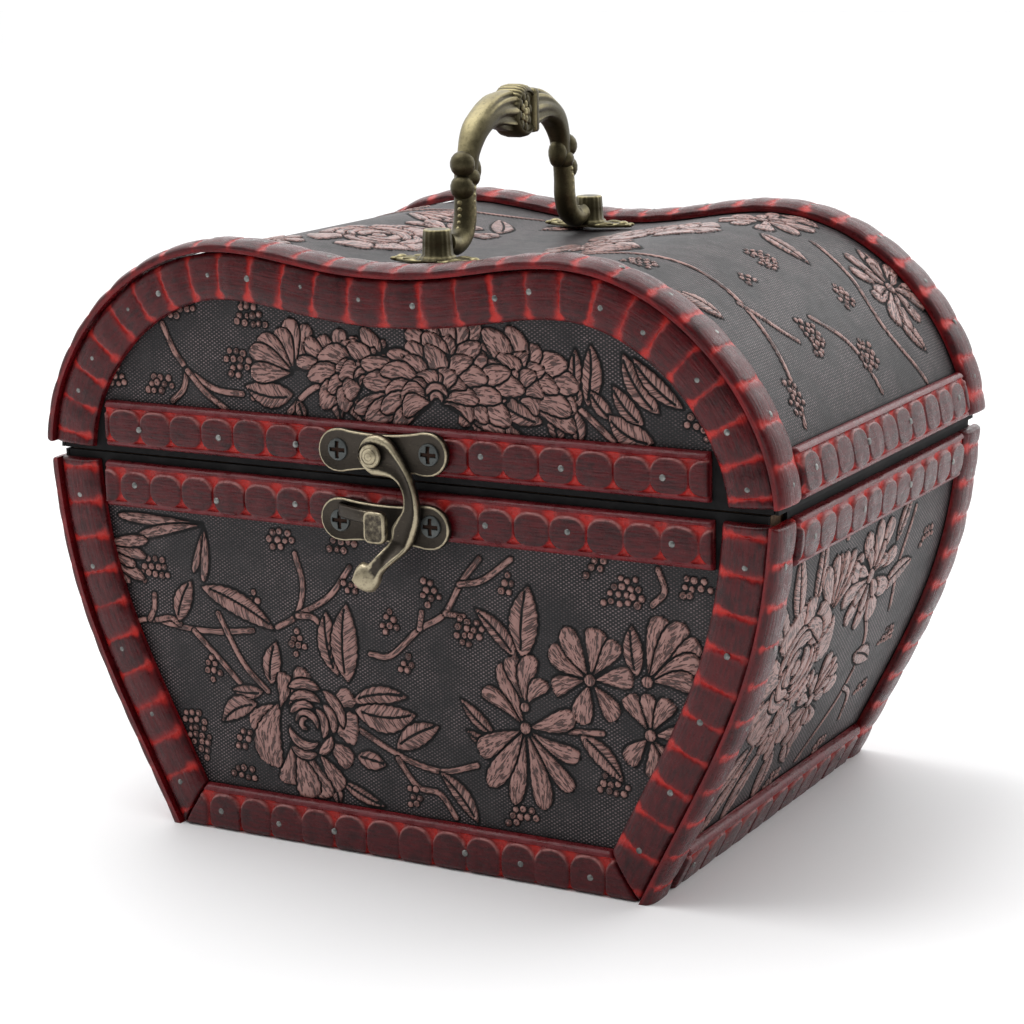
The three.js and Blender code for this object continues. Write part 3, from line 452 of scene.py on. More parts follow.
def brushed_metal_finish(name, tone, roughness):
    """Turned or ground metal with fine tool marks and a little tarnish."""
    material, tree, shader = new_material(name)
    marks = noise(tree, object_place(tree, (0.6, 6.0, 0.6)), 1.0, 4, 0.6)
    tarnish = noise(tree, object_place(tree), 0.22, 4, 0.6)
    dulled = ramp(tree, tarnish, 0.35, 0.75, 0.0, 0.6)
    colour = blend(tree, dulled, tone, darker(tone, 0.45))
    shader.inputs["Metallic"].default_value = 1.0
    gloss = plus(tree, times(tree, tarnish, 0.3), roughness - 0.1)
    shade(tree, shader, colour, gloss, marks, 0.00004, 0.5)
    return material


def red_flock(tree, place, deep, light, brushed, share):
    """The colour of a flocked lining whose nap is brushed aside in patches, and its fibres."""
    fibres = noise(tree, place, 2.6, 4, 0.7)
    nap = noise(tree, place, 0.12, 3, 0.6)
    red = blend(tree, fibres, deep, light)
    return blend(tree, ramp(tree, nap, 0.35, 0.7, 0.0, share), red, brushed), fibres


def board_finish():
    """Plain wood where a board is cut or faces out, and flocked red lining where it faces in."""
    material, tree, shader = new_material("lined_board")
    place = object_place(tree)
    grain = noise(tree, object_place(tree, (0.08, 1.1, 1.1)), 1.0, 5, 0.6)
    wood = blend(tree, ramp(tree, grain, 0.3, 0.72), (0.20, 0.115, 0.06), (0.075, 0.038, 0.02))
    red, fibres = red_flock(
        tree, place, (0.028, 0.003, 0.005), (0.135, 0.012, 0.02), (0.19, 0.025, 0.035), 0.5
    )
    inputs = {0: place, 1: (0, 0, -LINING_MIDDLE * SEAM_Z)}
    from_middle = put(tree, "VectorMath", inputs, operation="ADD").outputs[0]
    inputs = {0: put(tree, "TexCoord").outputs["Normal"], 1: from_middle}
    facing = put(tree, "VectorMath", inputs, operation="DOT_PRODUCT").outputs["Value"]
    faces_in = ramp(tree, facing, -8.0, -5.0, 1.0, 0.0)
    height = put(tree, "SeparateXYZ", {0: place}).outputs[2]
    from_rim = maths(tree, "ABSOLUTE", maths(tree, "SUBTRACT", height, SEAM_Z))
    lined = times(tree, faces_in, ramp(tree, from_rim, 0.5, 0.9))
    gloss = plus(tree, times(tree, fibres, 0.15), 0.72)
    shade(tree, shader, blend(tree, lined, wood, red), gloss, plus(tree, fibres, grain), 0.00016, 0.6)
    return material


def velvet_finish():
    """Flocked lining with a brushed nap."""
    material, tree, shader = new_material("velvet_lining")
    red, fibres = red_flock(
        tree, object_place(tree), (0.03, 0.003, 0.005), (0.15, 0.013, 0.022), (0.21, 0.028, 0.04), 0.55
    )
    shader.inputs["Sheen Weight"].default_value = 0.35
    shader.inputs["Sheen Roughness"].default_value = 0.4
    shade(tree, shader, red, plus(tree, times(tree, fibres, 0.2), 0.74), fibres, 0.0002, 0.7)
    return material


# Tones of the worn metals: patina, bright metal, roughness, speckle, wear from, and mottling.
WORN_METALS = {
    "aged_brass": ((0.046, 0.038, 0.030), (0.44, 0.38, 0.26), 0.38, 0.34, 0.5),
    "olive_bronze": ((0.064, 0.054, 0.028), (0.33, 0.285, 0.155), 0.42, 0.2, 0.38, 0.4),
    "dark_steel": ((0.085, 0.092, 0.09), (0.42, 0.42, 0.40), 0.46, 0.3, 0.5),
}
# Tones of the turned and ground metals: colour and roughness.
BRUSHED_METALS = {
    "turned_brass": ((0.62, 0.43, 0.17), 0.3),
    "ground_steel": ((0.5, 0.5, 0.51), 0.3),
    "cast_zinc": ((0.36, 0.35, 0.33), 0.48),
}


def metal(name):
    """A metal's finish, made once and shared by the pieces that wear it."""
    made = bpy.data.materials.get(name)
    if made is None and name in WORN_METALS:
        made = worn_metal_finish(name, *WORN_METALS[name])
    elif made is None:
        made = brushed_metal_finish(name, *BRUSHED_METALS[name])
    return made


# ---------- sprays embossed in the covering ----------

class Emboss:
    """A sheet's relief on a grid: height, copper, the grooves' painted shade and the run of the strokes."""

    def __init__(self, a, b):
        self.a, self.b = a, b  # places on the sheet, in millimetres, as arrays of one shape
        self.height = np.zeros(a.shape)
        self.raised = np.zeros(a.shape)
        self.outline = np.zeros(a.shape)
        self.strokes = np.zeros((*a.shape, 3))
        self.count = 0

    def window(self, a0, b0, a1, b1, margin):
        """The rows and columns that may hold a place between two corners."""
        rows = np.nonzero((self.b.max(1) > b0 - margin) & (self.b.min(1) < b1 + margin))[0]
        columns = np.nonzero((self.a.max(0) > a0 - margin) & (self.a.min(0) < a1 + margin))[0]
        if not len(rows) or not len(columns):
            return None
        return slice(rows[0], rows[-1] + 1), slice(columns[0], columns[-1] + 1)

    def stamp(self, where, depth, height, u, v, groove=0.75):
        """Lays one raised shape over the sheet, with a groove round it. depth is the distance inside
        its edge, and u and v are the run of its strokes."""
        self.count += 1
        inside = smoothstep(-0.12, 0.2, depth)
        near = smoothstep(-groove, -0.5 * groove, depth) * (1 - inside)
        flattened = smoothstep(-groove, -0.1, depth)
        self.height[where] = self.height[where] * (1 - flattened) - 0.12 * near + height * inside
        self.raised[where] = self.raised[where] * (1 - flattened) + inside
        # The outline marks the groove round each shape, which the finish paints dark as shade.
        self.outline[where] = np.maximum(self.outline[where] * (1 - inside), near)
        mark = inside > 0.02
        strokes = np.stack([u, v, np.full(u.shape, 0.37 * self.count)], -1)
        self.strokes[where][mark] = strokes[mark]

    def blade(self, base, tip, width, belly=0.5, blunt=0.5, bend=0.0, ripple=0.0, split=False):
        """A leaf or petal from base to tip. belly moves its widest place tipwards, and blunt is 0 for
        a sharp tip. A split one has a vein and strokes that slant from it."""
        (x0, y0), (x1, y1) = base, tip
        length = math.hypot(x1 - x0, y1 - y0)
        where = self.window(min(x0, x1), min(y0, y1), max(x0, x1), max(y0, y1), width)
        if where is None or length < 0.1:
            return
        ux, uy = (x1 - x0) / length, (y1 - y0) / length
        da, db = self.a[where] - x0, self.b[where] - y0
        u = da * ux + db * uy
        t = np.clip(u / length, 0, 1)
        v = -da * uy + db * ux - bend * 4 * t * (1 - t)
        first, last = 0.35 + belly * 1.1, 1.05 - 0.85 * blunt
        peak = first / (first + last)
        profile = t**first * (1 - t)**last / (peak**first * (1 - peak)**last)
        half = 0.5 * width * profile * (1 + ripple * np.sin(u * math.tau / 1.9 + self.count))
        beyond = np.maximum(-u, u - length)
        depth = np.where(beyond > 0, -np.hypot(beyond, np.abs(v)), half - np.abs(v))
        rise = 0.28 + 0.14 * np.sqrt(np.clip(depth / (0.5 * width), 0, 1))
        if not split:
            self.stamp(where, depth, rise, v * (1 + 0.35 * np.sin(u * 0.5)), u)
        else:
            self.stamp(where, depth, rise, u - 0.7 * np.abs(v), 0.6 * v)
            vein = smoothstep(0.42, 0.16, np.abs(v - 0.06 * width))
            vein = vein * (t > 0.1) * (t < 0.93) * (depth > 0)
            self.height[where] -= 0.3 * vein
            self.raised[where] *= 1 - vein
            # The vein's groove also takes the outline, so it is painted dark as shade.
            self.outline[where] = np.maximum(self.outline[where], vein)

    def stem(self, points, width=1.2):
        """A thin winding stem through points."""
        line = smooth_line(points, 44)
        lo, hi = line.min(0), line.max(0)
        where = self.window(*lo, *hi, 2.0)
        if where is None:
            return
        a, b = self.a[where], self.b[where]
        nearest = np.full(a.shape, 1e9)
        run = np.zeros(a.shape)
        for i, (p, q) in enumerate(zip(line, line[1:])):
            d = q - p
            t = np.clip(((a - p[0]) * d[0] + (b - p[1]) * d[1]) / (d @ d + 1e-9), 0, 1)
            gap = np.hypot(a - p[0] - t * d[0], b - p[1] - t * d[1])
            run = np.where(gap < nearest, i + t, run)
            nearest = np.minimum(nearest, gap)
        depth = 0.5 * width - nearest
        rise = 0.2 + 0.1 * np.clip(depth / (0.5 * width), 0, 1)
        self.stamp(where, depth, rise, nearest, 0.4 * run, 0.5)

    def berries(self, place, count, spread, rng, lean=0.0):
        """A loose bunch of small round berries, each with a dimple."""
        rows = max(2, round(math.sqrt(count * 1.3)))
        left = count
        for row in range(rows + 2):
            for column in range(-3, 4):
                if left <= 0:
                    return
                x = column * 1.75 + (row % 2) * 0.87 + rng.uniform(-0.28, 0.28)
                y = -row * 1.6 + rng.uniform(-0.28, 0.28)
                if abs(x) > spread * (0.45 + 0.55 * math.sin(math.pi * (row + 0.8) / (rows + 1.6))):
                    continue
                left -= 1
                self.berry(place[0] + x + lean * y, place[1] + y + 0.8 * rows, rng.uniform(0.62, 0.8))

    def berry(self, x, y, radius):
        where = self.window(x, y, x, y, 1.6)
        if where is None:
            return
        gap = np.hypot(self.a[where] - x, self.b[where] - y)
        dome = 0.42 * np.sqrt(np.clip(1 - (gap / radius)**2, 0, 1)) - 0.12 * np.exp(-(gap / 0.22)**2)
        self.stamp(where, radius - gap, dome, gap, gap, 0.42)

    def leaf(self, base, tip, width, bend=0.0):
        self.blade(base, tip, width, belly=0.45, blunt=0.12, bend=bend, ripple=0.04, split=True)

    def fan(self, centre, length, width, start, end, count, rng, belly=0.75, blunt=0.72):
        """Petals that radiate from a centre between two angles in degrees."""
        for i in range(count):
            angle = math.radians(start + (end - start) * (i + 0.5) / count + rng.uniform(-4, 4))
            reach = length * rng.uniform(0.82, 1.12)
            broad = width * rng.uniform(0.8, 1.15)
            base, tip = polar(centre, angle, 1.1), polar(centre, angle, reach)
            self.blade(base, tip, broad, belly, blunt, bend=rng.uniform(-0.5, 0.5))

    def bloom(self, centre, tips, width, rng, button=1.2):
        """An open flower whose petals run from its button to given tips, wider towards the tip."""
        for x, y in tips:
            dx, dy = x - centre[0], y - centre[1]
            length = math.hypot(dx, dy)
            base = (centre[0] + dx / length, centre[1] + dy / length)
            broad = width * rng.uniform(0.85, 1.15) * min(1.0, 0.45 + length / 18)
            belly, blunt, bend = (rng.uniform(*span) for span in ((0.7, 0.95), (0.6, 0.9), (-0.9, 0.9)))
            self.blade(base, (x, y), broad, belly, blunt, bend, 0.03)
        self.berry_button(centre, button)

    def daisy(self, centre, radius, petals, turn, rng):
        """An open flower of uneven petals in two layers."""
        for share, count, broad in ((1.0, petals, 0.56), (0.6, petals - 3, 0.42)):
            tips = []
            for i in range(count):
                angle = math.radians(turn + 360 * i / count + rng.uniform(-9, 9))
                reach = share * radius * rng.uniform(0.8, 1.15)
                tips.append(polar(centre, angle, reach))
            self.bloom(centre, tips, broad * math.tau * radius / petals, rng, 0.1 * radius + 0.3)

    def berry_button(self, centre, radius):
        where = self.window(*centre, *centre, radius + 1)
        if where is None:
            return
        gap = np.hypot(self.a[where] - centre[0], self.b[where] - centre[1])
        self.stamp(where, radius - gap, 0.36, self.a[where], self.b[where], 0.6)

    def ring_petal(self, centre, radius, thick, start, end):
        """A curved petal that lies around a centre, from one angle in degrees to another."""
        where = self.window(*centre, *centre, radius + thick + 1)
        if where is None:
            return
        da, db = self.a[where] - centre[0], self.b[where] - centre[1]
        angle = np.arctan2(db, da)
        middle, half = math.radians((start + end) / 2), math.radians((end - start) / 2)
        off = (angle - middle + math.pi) % math.tau - math.pi
        gap = np.hypot(da, db)
        t = np.clip(np.abs(off) / half, 0, 1)
        width = 0.5 * thick * (1 - t**2.6)
        off_ring = np.abs(gap - radius)
        past_end = np.hypot((np.abs(off) - half) * radius, off_ring)
        depth = np.where(np.abs(off) < half, width - off_ring, -past_end)
        self.stamp(where, depth, 0.34, gap, off * radius)

    def burst(self, centre, reach_x, reach_y, petals, rng):
        """A very full flower seen from the side: layer upon layer of long curved petals."""
        for layer, share in enumerate((1.0, 0.72, 0.46)):
            count = max(4, round(petals * (0.35 + 0.65 * share)))
            for i in range(count):
                turn = 236 * (i + 0.5 * (layer % 2)) / (count - 1)
                angle = math.radians(-28 + turn + rng.uniform(-5, 5))
                far = share * rng.uniform(0.82, 1.1)
                base = polar(centre, angle, 0.2 * far * reach_x, 0.2 * far * reach_y)
                tip = polar(centre, angle, far * reach_x, far * reach_y)
                curl = rng.uniform(0.6, 2.2) * (1 if math.cos(angle) > 0 else -1)
                broad = rng.uniform(4.0, 5.6) * (0.6 + 0.4 * share)
                self.blade(base, tip, broad, 0.6, 0.6, curl, 0.03)
        self.ring_petal(centre, 2.6, 1.7, 20, 160)
        self.ring_petal(centre, 1.2, 1.2, -20, 200)

    def peony(self, centre, radius, turn, rng):
        """A full flower: ragged outer petals, then curved petals closing on the heart."""
        outer = 9
        for i in range(outer):
            angle = math.radians(turn + 360 * i / outer + rng.uniform(-9, 9))
            reach = radius * rng.uniform(0.88, 1.22)
            base, tip = polar(centre, angle, 0.25 * radius), polar(centre, angle, reach)
            self.blade(base, tip, radius * rng.uniform(0.5, 0.78), 0.9, 0.95, rng.uniform(-1, 1), 0.05)
        for ring, (share, petals) in enumerate(((0.62, 4), (0.44, 3), (0.27, 2))):
            for i in range(petals):
                at = turn + 40 * ring + 360 * i / petals + rng.uniform(-12, 12)
                heart = (centre[0] + 0.06 * radius, centre[1] + 0.1 * radius)
                self.ring_petal(heart, share * radius, 0.24 * radius, at, at + 0.94 * 360 / petals)
        self.berry_button((centre[0] + 0.04 * radius, centre[1] + 0.08 * radius), 0.13 * radius)


def front_spray(sheet, rng):
    """The spray on the body's front and back: a peony, a bunch of open flowers, stems and berries."""
    for points in (
        ((-68, 42.6), (-63, 44.3), (-52, 43.4), (-44.6, 43.6), (-36.2, 44.8)),
        ((-63, 44.3), (-61.6, 47), (-61.4, 50)),
        ((-61, 44.4), (-57.5, 45.2), (-55, 44.2)),
        ((-44.9, 47.6), (-39, 37.5), (-32.9, 31.9)),
        ((-51.3, 43), (-45, 37.5), (-39.8, 32.6)),
        ((-29.9, 46.2), (-25, 49.4), (-23.1, 56), (-24.8, 62.6)),
        ((-25, 49.2), (-16.8, 54.2), (-11.4, 61)),
        ((-24.6, 49.3), (-21, 49.4), (-18.6, 47.6)),
        ((-7, 43.1), (-2, 43.4), (4.9, 49.7), (10.9, 53.6), (15.2, 60.8), (19.4, 66)),
        ((5, 49.8), (5.6, 53.4)),
        ((11.2, 53.8), (15.4, 53.6)),
        ((14.6, 60.2), (20, 61.6), (26.6, 66.6)),
        ((-10, 26.3), (-3.3, 23.2), (3, 21), (10, 20.2), (17.8, 22.6)),
        ((-1.1, 21.4), (3.6, 16), (8.8, 15.2), (12.6, 10.6)),
        ((59, 67.8), (60.4, 63.6), (57.8, 60.6)),
        ((38.6, 32.6), (46.6, 33.2)),
    ):
        sheet.stem(points)
    for place, count, spread, lean in (
        ((-60.6, 54.6), 13, 3.6, 0.15), ((-35.4, 51.4), 3, 2.0, 0.0), ((-25.1, 43.6), 7, 2.0, -0.1),
        ((-1.9, 50.5), 7, 2.0, 0.1), ((7.9, 57.6), 8, 2.3, 0.0), ((16.4, 49.6), 13, 3.6, -0.25),
        ((1.9, 41.4), 5, 2.0, 0.0), ((-47.3, 35.4), 7, 2.2, -0.2), ((-53, 20.6), 20, 3.4, -0.35),
        ((-39.6, 19.6), 6, 2.4, 0.0), ((-39.8, 11.4), 7, 3.0, 0.0), ((3.2, 13), 6, 2.4, 0.0),
        ((-11.4, 55.1), 5, 2.6, 0.0), ((-28.2, 64.4), 9, 3.4, 0.0), ((-12.4, 64.6), 10, 3.9, 0.0),
        ((26, 60.6), 5, 2.0, 0.0), ((45.4, 66), 5, 2.6, 0.0), ((52.6, 61), 17, 5.0, 0.2),
        ((66.8, 64), 9, 3.6, -0.3), ((28.4, 12.4), 9, 4.0, 0.0), ((48.6, 21.4), 11, 4.0, -0.3),
    ):
        sheet.berries(place, count, spread, rng, lean)
    for base, tip, width, bend in (
        ((-31.9, 33.6), (-30.3, 43), 4.4, 0.5), ((-34.2, 31.6), (-42, 31.2), 2.9, 0.3),
        ((-35.9, 28.8), (-45, 23.8), 4.6, -1.2), ((-15.2, 37.6), (-17.6, 51), 5.2, 0.8),
        ((-12.6, 36.4), (-12.4, 53.2), 6.4, 0.8), ((-11.6, 32.4), (1.6, 34.9), 3.8, 0.9),
        ((-11.2, 30.6), (3.6, 31.4), 6.0, -1.4), ((-1.2, 23.6), (9, 29.6), 4.8, 0.6),
        ((-11, 20.6), (-4, 19.6), 3.8, 0.0), ((-48.8, 53), (-30.6, 45.6), 5.0, 0.9),
        ((-55.2, 44.8), (-51.4, 54), 4.4, 0.6), ((29, 46.6), (30.4, 61.6), 6.4, 0.5),
        ((27.4, 46.6), (18.2, 55.6), 3.6, -0.6), ((22, 29.6), (14.4, 36.2), 2.9, 0.3),
        ((23, 26.4), (15.6, 29.8), 2.5, 0.3), ((54.3, 46), (53.2, 56), 4.2, 0.3),
        ((41.6, 32.2), (51, 23.8), 4.2, 0.6), ((17.8, 10.4), (9, 20), 3.6, -0.8),
        ((-17, 14.4), (-16, 9), 2.6, 0.2), ((-15, 14.6), (-4.6, 10.4), 2.6, -0.4),
    ):
        sheet.leaf(base, tip, width, bend)
    sheet.fan((-46.8, 66.8), 21, 2.0, 176, 196, 2, rng, 0.7, 0.6)
    sheet.fan((-47.4, 66.8), 13.5, 1.9, 250, 276, 2, rng, 0.6, 0.6)
    sheet.fan((-76, 60), 13, 2.8, -52, 14, 5, rng, 0.8, 0.6)
    for centre, width, button, tips in (
        ((56.5, 45), 4.2, 1.2, ((59.9, 58.4), (64.6, 57.6), (67.6, 54.4), (68.2, 50.2), (66.8, 45.6))),
        ((57.1, 34.2), 3.9, 1.2,
         ((52.2, 41.8), (56.2, 42.6), (61.6, 41.8), (64.4, 35.4), (62.6, 28.4), (57.4, 25.6), (52, 28))),
        ((43.9, 43.8), 4.1, 1.2,
         ((35.2, 49.6), (38.4, 54), (45.4, 54.6), (50, 52.2), (53.4, 45.4), (49.6, 36.4), (41.8, 34.6),
          (35.6, 41))),
        ((29.2, 32), 4.0, 1.2,
         ((23.6, 44.8), (19.6, 39), (40.4, 36), (41.4, 27.4), (39.6, 20.4), (33.4, 15.6), (26.4, 15.6),
          (20.6, 18.6), (18.4, 25.6))),
        ((29.2, 36.4), 3.8, 1.0, ((26, 46.4), (31, 47.4), (34.2, 42.2))),
    ):
        sheet.bloom(centre, tips, width, rng, button)
    # The peony at the left: outer petals, then curved ones around its heart.
    for base, tip, width, bend in (
        ((-27.5, 21), (-28.6, 12), 5.2, 0.5), ((-20.6, 20), (-15.2, 12.6), 4.2, 0.3),
        ((-19, 23), (-12.6, 18.6), 4.6, 0.4), ((-24, 21), (-18.4, 10.4), 4.6, -0.5),
        ((-26.6, 20.4), (-23, 9.6), 6.0, 0.6), ((-29.4, 29.8), (-36.6, 22.6), 5.6, -0.8),
        ((-28.6, 31), (-32.8, 15.6), 7.2, -2.2), ((-30, 28.6), (-28.4, 36.4), 4.0, -0.4),
        ((-28, 29.4), (-23.4, 37.8), 4.6, -0.5), ((-18.4, 27), (-10.6, 26), 7.0, 0.3),
        ((-17.4, 30), (-11.6, 33.6), 4.4, 0.4),
    ):
        sheet.blade(base, tip, width, 0.85, 0.85, bend, 0.05)
    for radius, thick, start, end in (
        (9.2, 2.5, 4, 62), (9.0, 2.5, 66, 118), (6.8, 2.2, -8, 50), (6.6, 2.2, 56, 128),
        (4.6, 2.0, -30, 60), (4.5, 1.9, 64, 150), (2.7, 1.6, -10, 170), (6.4, 2.2, 232, 292),
        (6.4, 2.2, 296, 346), (4.4, 1.9, 190, 310),
    ):
        sheet.ring_petal((-23.4, 25.6), radius, thick, start, end)
    sheet.ring_petal((-23.6, 26), 1.1, 1.1, 60, 300)


def lid_front_spray(sheet, rng):
    """The spray on the lid's front and back: stems and berries at the left, a large peony and leaves."""
    for points in (
        ((-55.8, 109), (-53, 103.4), (-50.4, 99.8), (-51, 95.6), (-54, 92.8)),
        ((-50.2, 99.6), (-43, 96), (-36.2, 95.4)),
        ((-49.8, 99.4), (-45.6, 95.2), (-40, 91.6)),
        ((-24.6, 92.4), (-19.6, 97.2), (-13, 100.2)),
        ((36.8, 101.2), (43, 97.6), (50, 92)),
    ):
        sheet.stem(points, 1.25)
    for place, count, spread, lean in (
        ((-69.8, 95.6), 12, 3.6, 0.0), ((-56.8, 94.6), 10, 3.6, 0.0), ((-51, 110.2), 7, 4.6, 0.0),
        ((-37.4, 101), 12, 3.2, -0.25), ((-34, 110.4), 12, 4.2, -0.3), ((-33.6, 93.4), 1, 2, 0),
        ((66.4, 96.4), 3, 2.0, 0.0), ((70.4, 94.2), 4, 2.0, 0.0),
    ):
        sheet.berries(place, count, spread, rng, lean)
    for base, tip, width, bend in (
        ((-23.6, 96.2), (-35.2, 97.2), 5.2, 1.0), ((-14, 98.6), (-12.2, 91.4), 3.2, 0.2),
        ((-10.6, 98.4), (-6.4, 91.4), 3.4, -0.3), ((-22.4, 95), (-21, 90.8), 2.4, 0),
        ((40, 103.4), (22.4, 108.4), 6.2, 0.6), ((36, 100.8), (19.6, 107.8), 6.4, -1.2),
        ((42.6, 98.4), (41.8, 109.6), 3.2, 0.3), ((44.4, 98.6), (45.2, 110.6), 4.2, -0.6),
        ((49.6, 96.4), (45, 101.6), 3.0, 0.3), ((58.4, 92.4), (48.8, 97.2), 5.2, 1.2),
        ((38.4, 90.8), (36.8, 98), 3.6, 0.3), ((42.6, 91), (40.6, 98), 3.4, -0.4),
        ((33.6, 99.4), (28.6, 96.6), 3.4, 0.4), ((59.6, 98.2), (52, 109.4), 4.4, 1.0),
        ((64.6, 99.6), (54.2, 108.6), 3.6, 0.8), ((56.2, 95.8), (49.8, 103), 3.6, 0.6),
        ((34.4, 94.6), (23, 99.8), 4.4, 0.8), ((30.4, 91), (18.2, 96.2), 4.2, 0.8),
    ):
        sheet.leaf(base, tip, width, bend)
    sheet.fan((-22.6, 100.6), 12, 4.6, 60, 196, 6, rng, 0.8, 0.7)
    sheet.fan((-12, 101), 9.6, 3.4, 30, 178, 6, rng, 0.7, 0.8)
    sheet.fan((14, 104), 11, 4.6, 20, 160, 6, rng, 0.8, 0.7)
    sheet.burst((28, 99), 17, 13.4, 11, rng)
    sheet.burst((-6, 99.6), 12.6, 11.4, 9, rng)
    sheet.burst((10.6, 97.4), 19.5, 14.6, 14, rng)


def side_spray(sheet, rng):
    """The spray on the body's sides. The first place runs front to back and the second goes up."""
    for points in (
        ((-40, 9), (-34, 19), (-31, 30), (-30, 42)),
        ((8, 52), (16, 42), (17, 28), (9, 13)),
        ((25, 72), (21, 60), (25, 48)),
        ((17, 30), (24, 26), (28, 18)),
    ):
        sheet.stem(points)
    for place, count, spread in (
        ((32, 38), 12, 4.0), ((22, 12), 9, 3.4), ((-3, 11), 10, 3.8), ((36, 62), 8, 3.4),
        ((-43, 33), 8, 2.4), ((-12, 74), 8, 3.0), ((32, 24), 7, 3.0),
    ):
        sheet.berries(place, count, spread, rng)
    for base, tip, width, bend in (
        ((-34, 31), (-45, 19), 6.0, 0.8), ((-31, 28), (-39, 9), 5.4, 0.6), ((-24, 28), (-27, 9), 5.8, -0.6),
        ((-16, 25), (-11, 9), 5.4, 0.6), ((-37, 56), (-45, 67), 5.4, 0.6), ((-33, 60), (-38, 76), 5.6, 0.5),
        ((-26, 62), (-26, 77), 5.2, -0.5), ((12, 40), (25, 35), 4.8, 0.7), ((13, 55), (29, 59), 5.0, 0.8),
        ((-38, 44), (-46, 46), 5.0, 0.4), ((16, 66), (22, 76), 4.2, 0.4), ((-8, 24), (-1, 16), 4.4, 0.4),
    ):
        sheet.leaf(base, tip, width, bend)
    sheet.fan((-16, 57), 16, 4.4, 30, 128, 6, rng)
    sheet.daisy((-6, 34), 13.2, 11, 30, rng)
    sheet.daisy((4, 61), 13.2, 10, 12, rng)
    sheet.fan((-20, 36), 13, 4.6, 200, 320, 5, rng)
    sheet.peony((-27, 47), 14.6, 10, rng)


def lid_top_spray(sheet, rng):
    """The spray over the lid, by the length along the arch from its right rim, and front to back."""
    far = LID_ARCH.length
    for flip in (False, True):
        def at(u, y):
            return (far - u, -y) if flip else (u, y)

        for points in (
            ((14, -34), (34, -28), (56, -24), (76, -30), (94, -38)),
            ((42, -27), (34, -22), (30, -18)),
            ((12, 30), (26, 22), (40, 26), (52, 30)),
            ((14, 6), (26, 2), (34, -6)),
        ):
            sheet.stem([at(*p) for p in points])
        for place, count, spread in (
            ((30, -12), 19, 4.8), ((22, 6), 17, 3.6), ((52, 2), 19, 4.4), ((36, 14), 12, 3.2),
            ((20, -34), 14, 4.0), ((62, -34), 14, 3.4), ((78, -22), 12, 3.4), ((48, -14), 6, 2.4),
        ):
            sheet.berries(at(*place), count, spread, rng)
        for base, tip, width, bend in (
            ((40, -38), (50, -42), 5.0, 0.6), ((74, -16), (86, -18), 4.6, 0.5),
            ((60, 20), (46, 16), 5.0, 0.8), ((30, 32), (18, 36), 5.4, 0.8),
            ((34, 38), (46, 42), 5.4, 0.6), ((96, -14), (88, -28), 5.0, 0.8),
            ((56, 42), (66, 44), 4.4, 0.4), ((100, -26), (106, -38), 4.4, 0.4),
        ):
            sheet.leaf(at(*base), at(*tip), width, bend)
        sheet.fan(at(68, -20), 13, 2.8, *((130, 230) if flip else (-50, 50)), 6, rng)
        sheet.daisy(at(88, -6), 11.6, 10, 0, rng)
        sheet.daisy(at(34, 38), 11.2, 10, 20, rng)
        sheet.daisy(at(66, 34), 10.2, 9, 0, rng)
        sheet.peony(at(82, 14), 13.0, 30, rng)


# ---------- coverings ----------

def covering_piece(node, body, rows, columns, sheet_place, world_place, spray, fade, seed, material):
    """A sheet of leatherette: an embossed face, its edges and a plain back.

    sheet_place(r, c) gives places on the sheet from the grid's rows and columns, world_place(a, b, out)
    turns them into the box's frame, and fade(a, b) is 1 where the embossing shows and 0 under the
    strips. The sheet is straight along its rows' way, so strips from the first row to the last close
    its back."""
    r, c = np.meshgrid(rows, columns, indexing="ij")
    a, b = sheet_place(r, c)
    sheet = Emboss(a, b)
    spray(sheet, np.random.default_rng(seed))
    shown = fade(a, b)
    height = np.clip(sheet.height * shown, -0.15, 0.6)
    face = np.stack(world_place(a, b, height), -1)
    back = np.stack(world_place(a, b, np.full(a.shape, -COVER_T)), -1)
    count_r, count_c = a.shape
    border = [(0, j) for j in range(count_c)]
    border += [(i, count_c - 1) for i in range(1, count_r)]
    border += [(count_r - 1, j) for j in range(count_c - 2, -1, -1)]
    border += [(i, 0) for i in range(count_r - 2, 0, -1)]
    edge = np.array([i * count_c + j for i, j in border])
    points = [face.reshape(-1, 3), back.reshape(-1, 3)[edge]]
    faces = grid_faces(count_r, count_c)
    start = count_r * count_c
    ring = len(edge)
    for k in range(ring):
        n = (k + 1) % ring
        faces.append([int(edge[k]), int(edge[n]), start + n, start + k])
    top, side = count_c - 1, count_r - 1
    for j in range(top):
        bottom_a, bottom_b = start + j, start + j + 1
        top_a, top_b = start + top + side + (top - j), start + top + side + (top - j - 1)
        if j == 0:
            left = [start + ring - i for i in range(1, side)]
            faces.append([bottom_a, bottom_b, top_b, top_a, *left[::-1]])
        elif j == top - 1:
            right = [start + top + i for i in range(1, side)]
            faces.append([bottom_a, bottom_b, *right, top_b, top_a])
        else:
            faces.append([bottom_a, bottom_b, top_b, top_a])
    zeros = np.zeros(ring)
    place = np.stack([a, b, 0 * a], -1).reshape(-1, 3)
    attributes = {
        "raised": np.concatenate([(sheet.raised * shown).ravel(), zeros]),
        # Outside the window, and on the sheet's edges and back, the outline is 1: painted shade, an almost
        # black sheet in the gaps beside the strips.
        "outline": np.concatenate([(1 - (1 - sheet.outline) * shown).ravel(), zeros + 1]),
        "place": np.vstack([place, place[edge]]),
        "strokes": np.vstack([sheet.strokes.reshape(-1, 3), np.zeros((ring, 3))]),
    }
    name = "leatherette_" + node
    piece = mesh_piece(name, np.vstack(points), faces, material, attributes, sharp_angle=60)
    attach(piece, body)
    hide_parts(node)


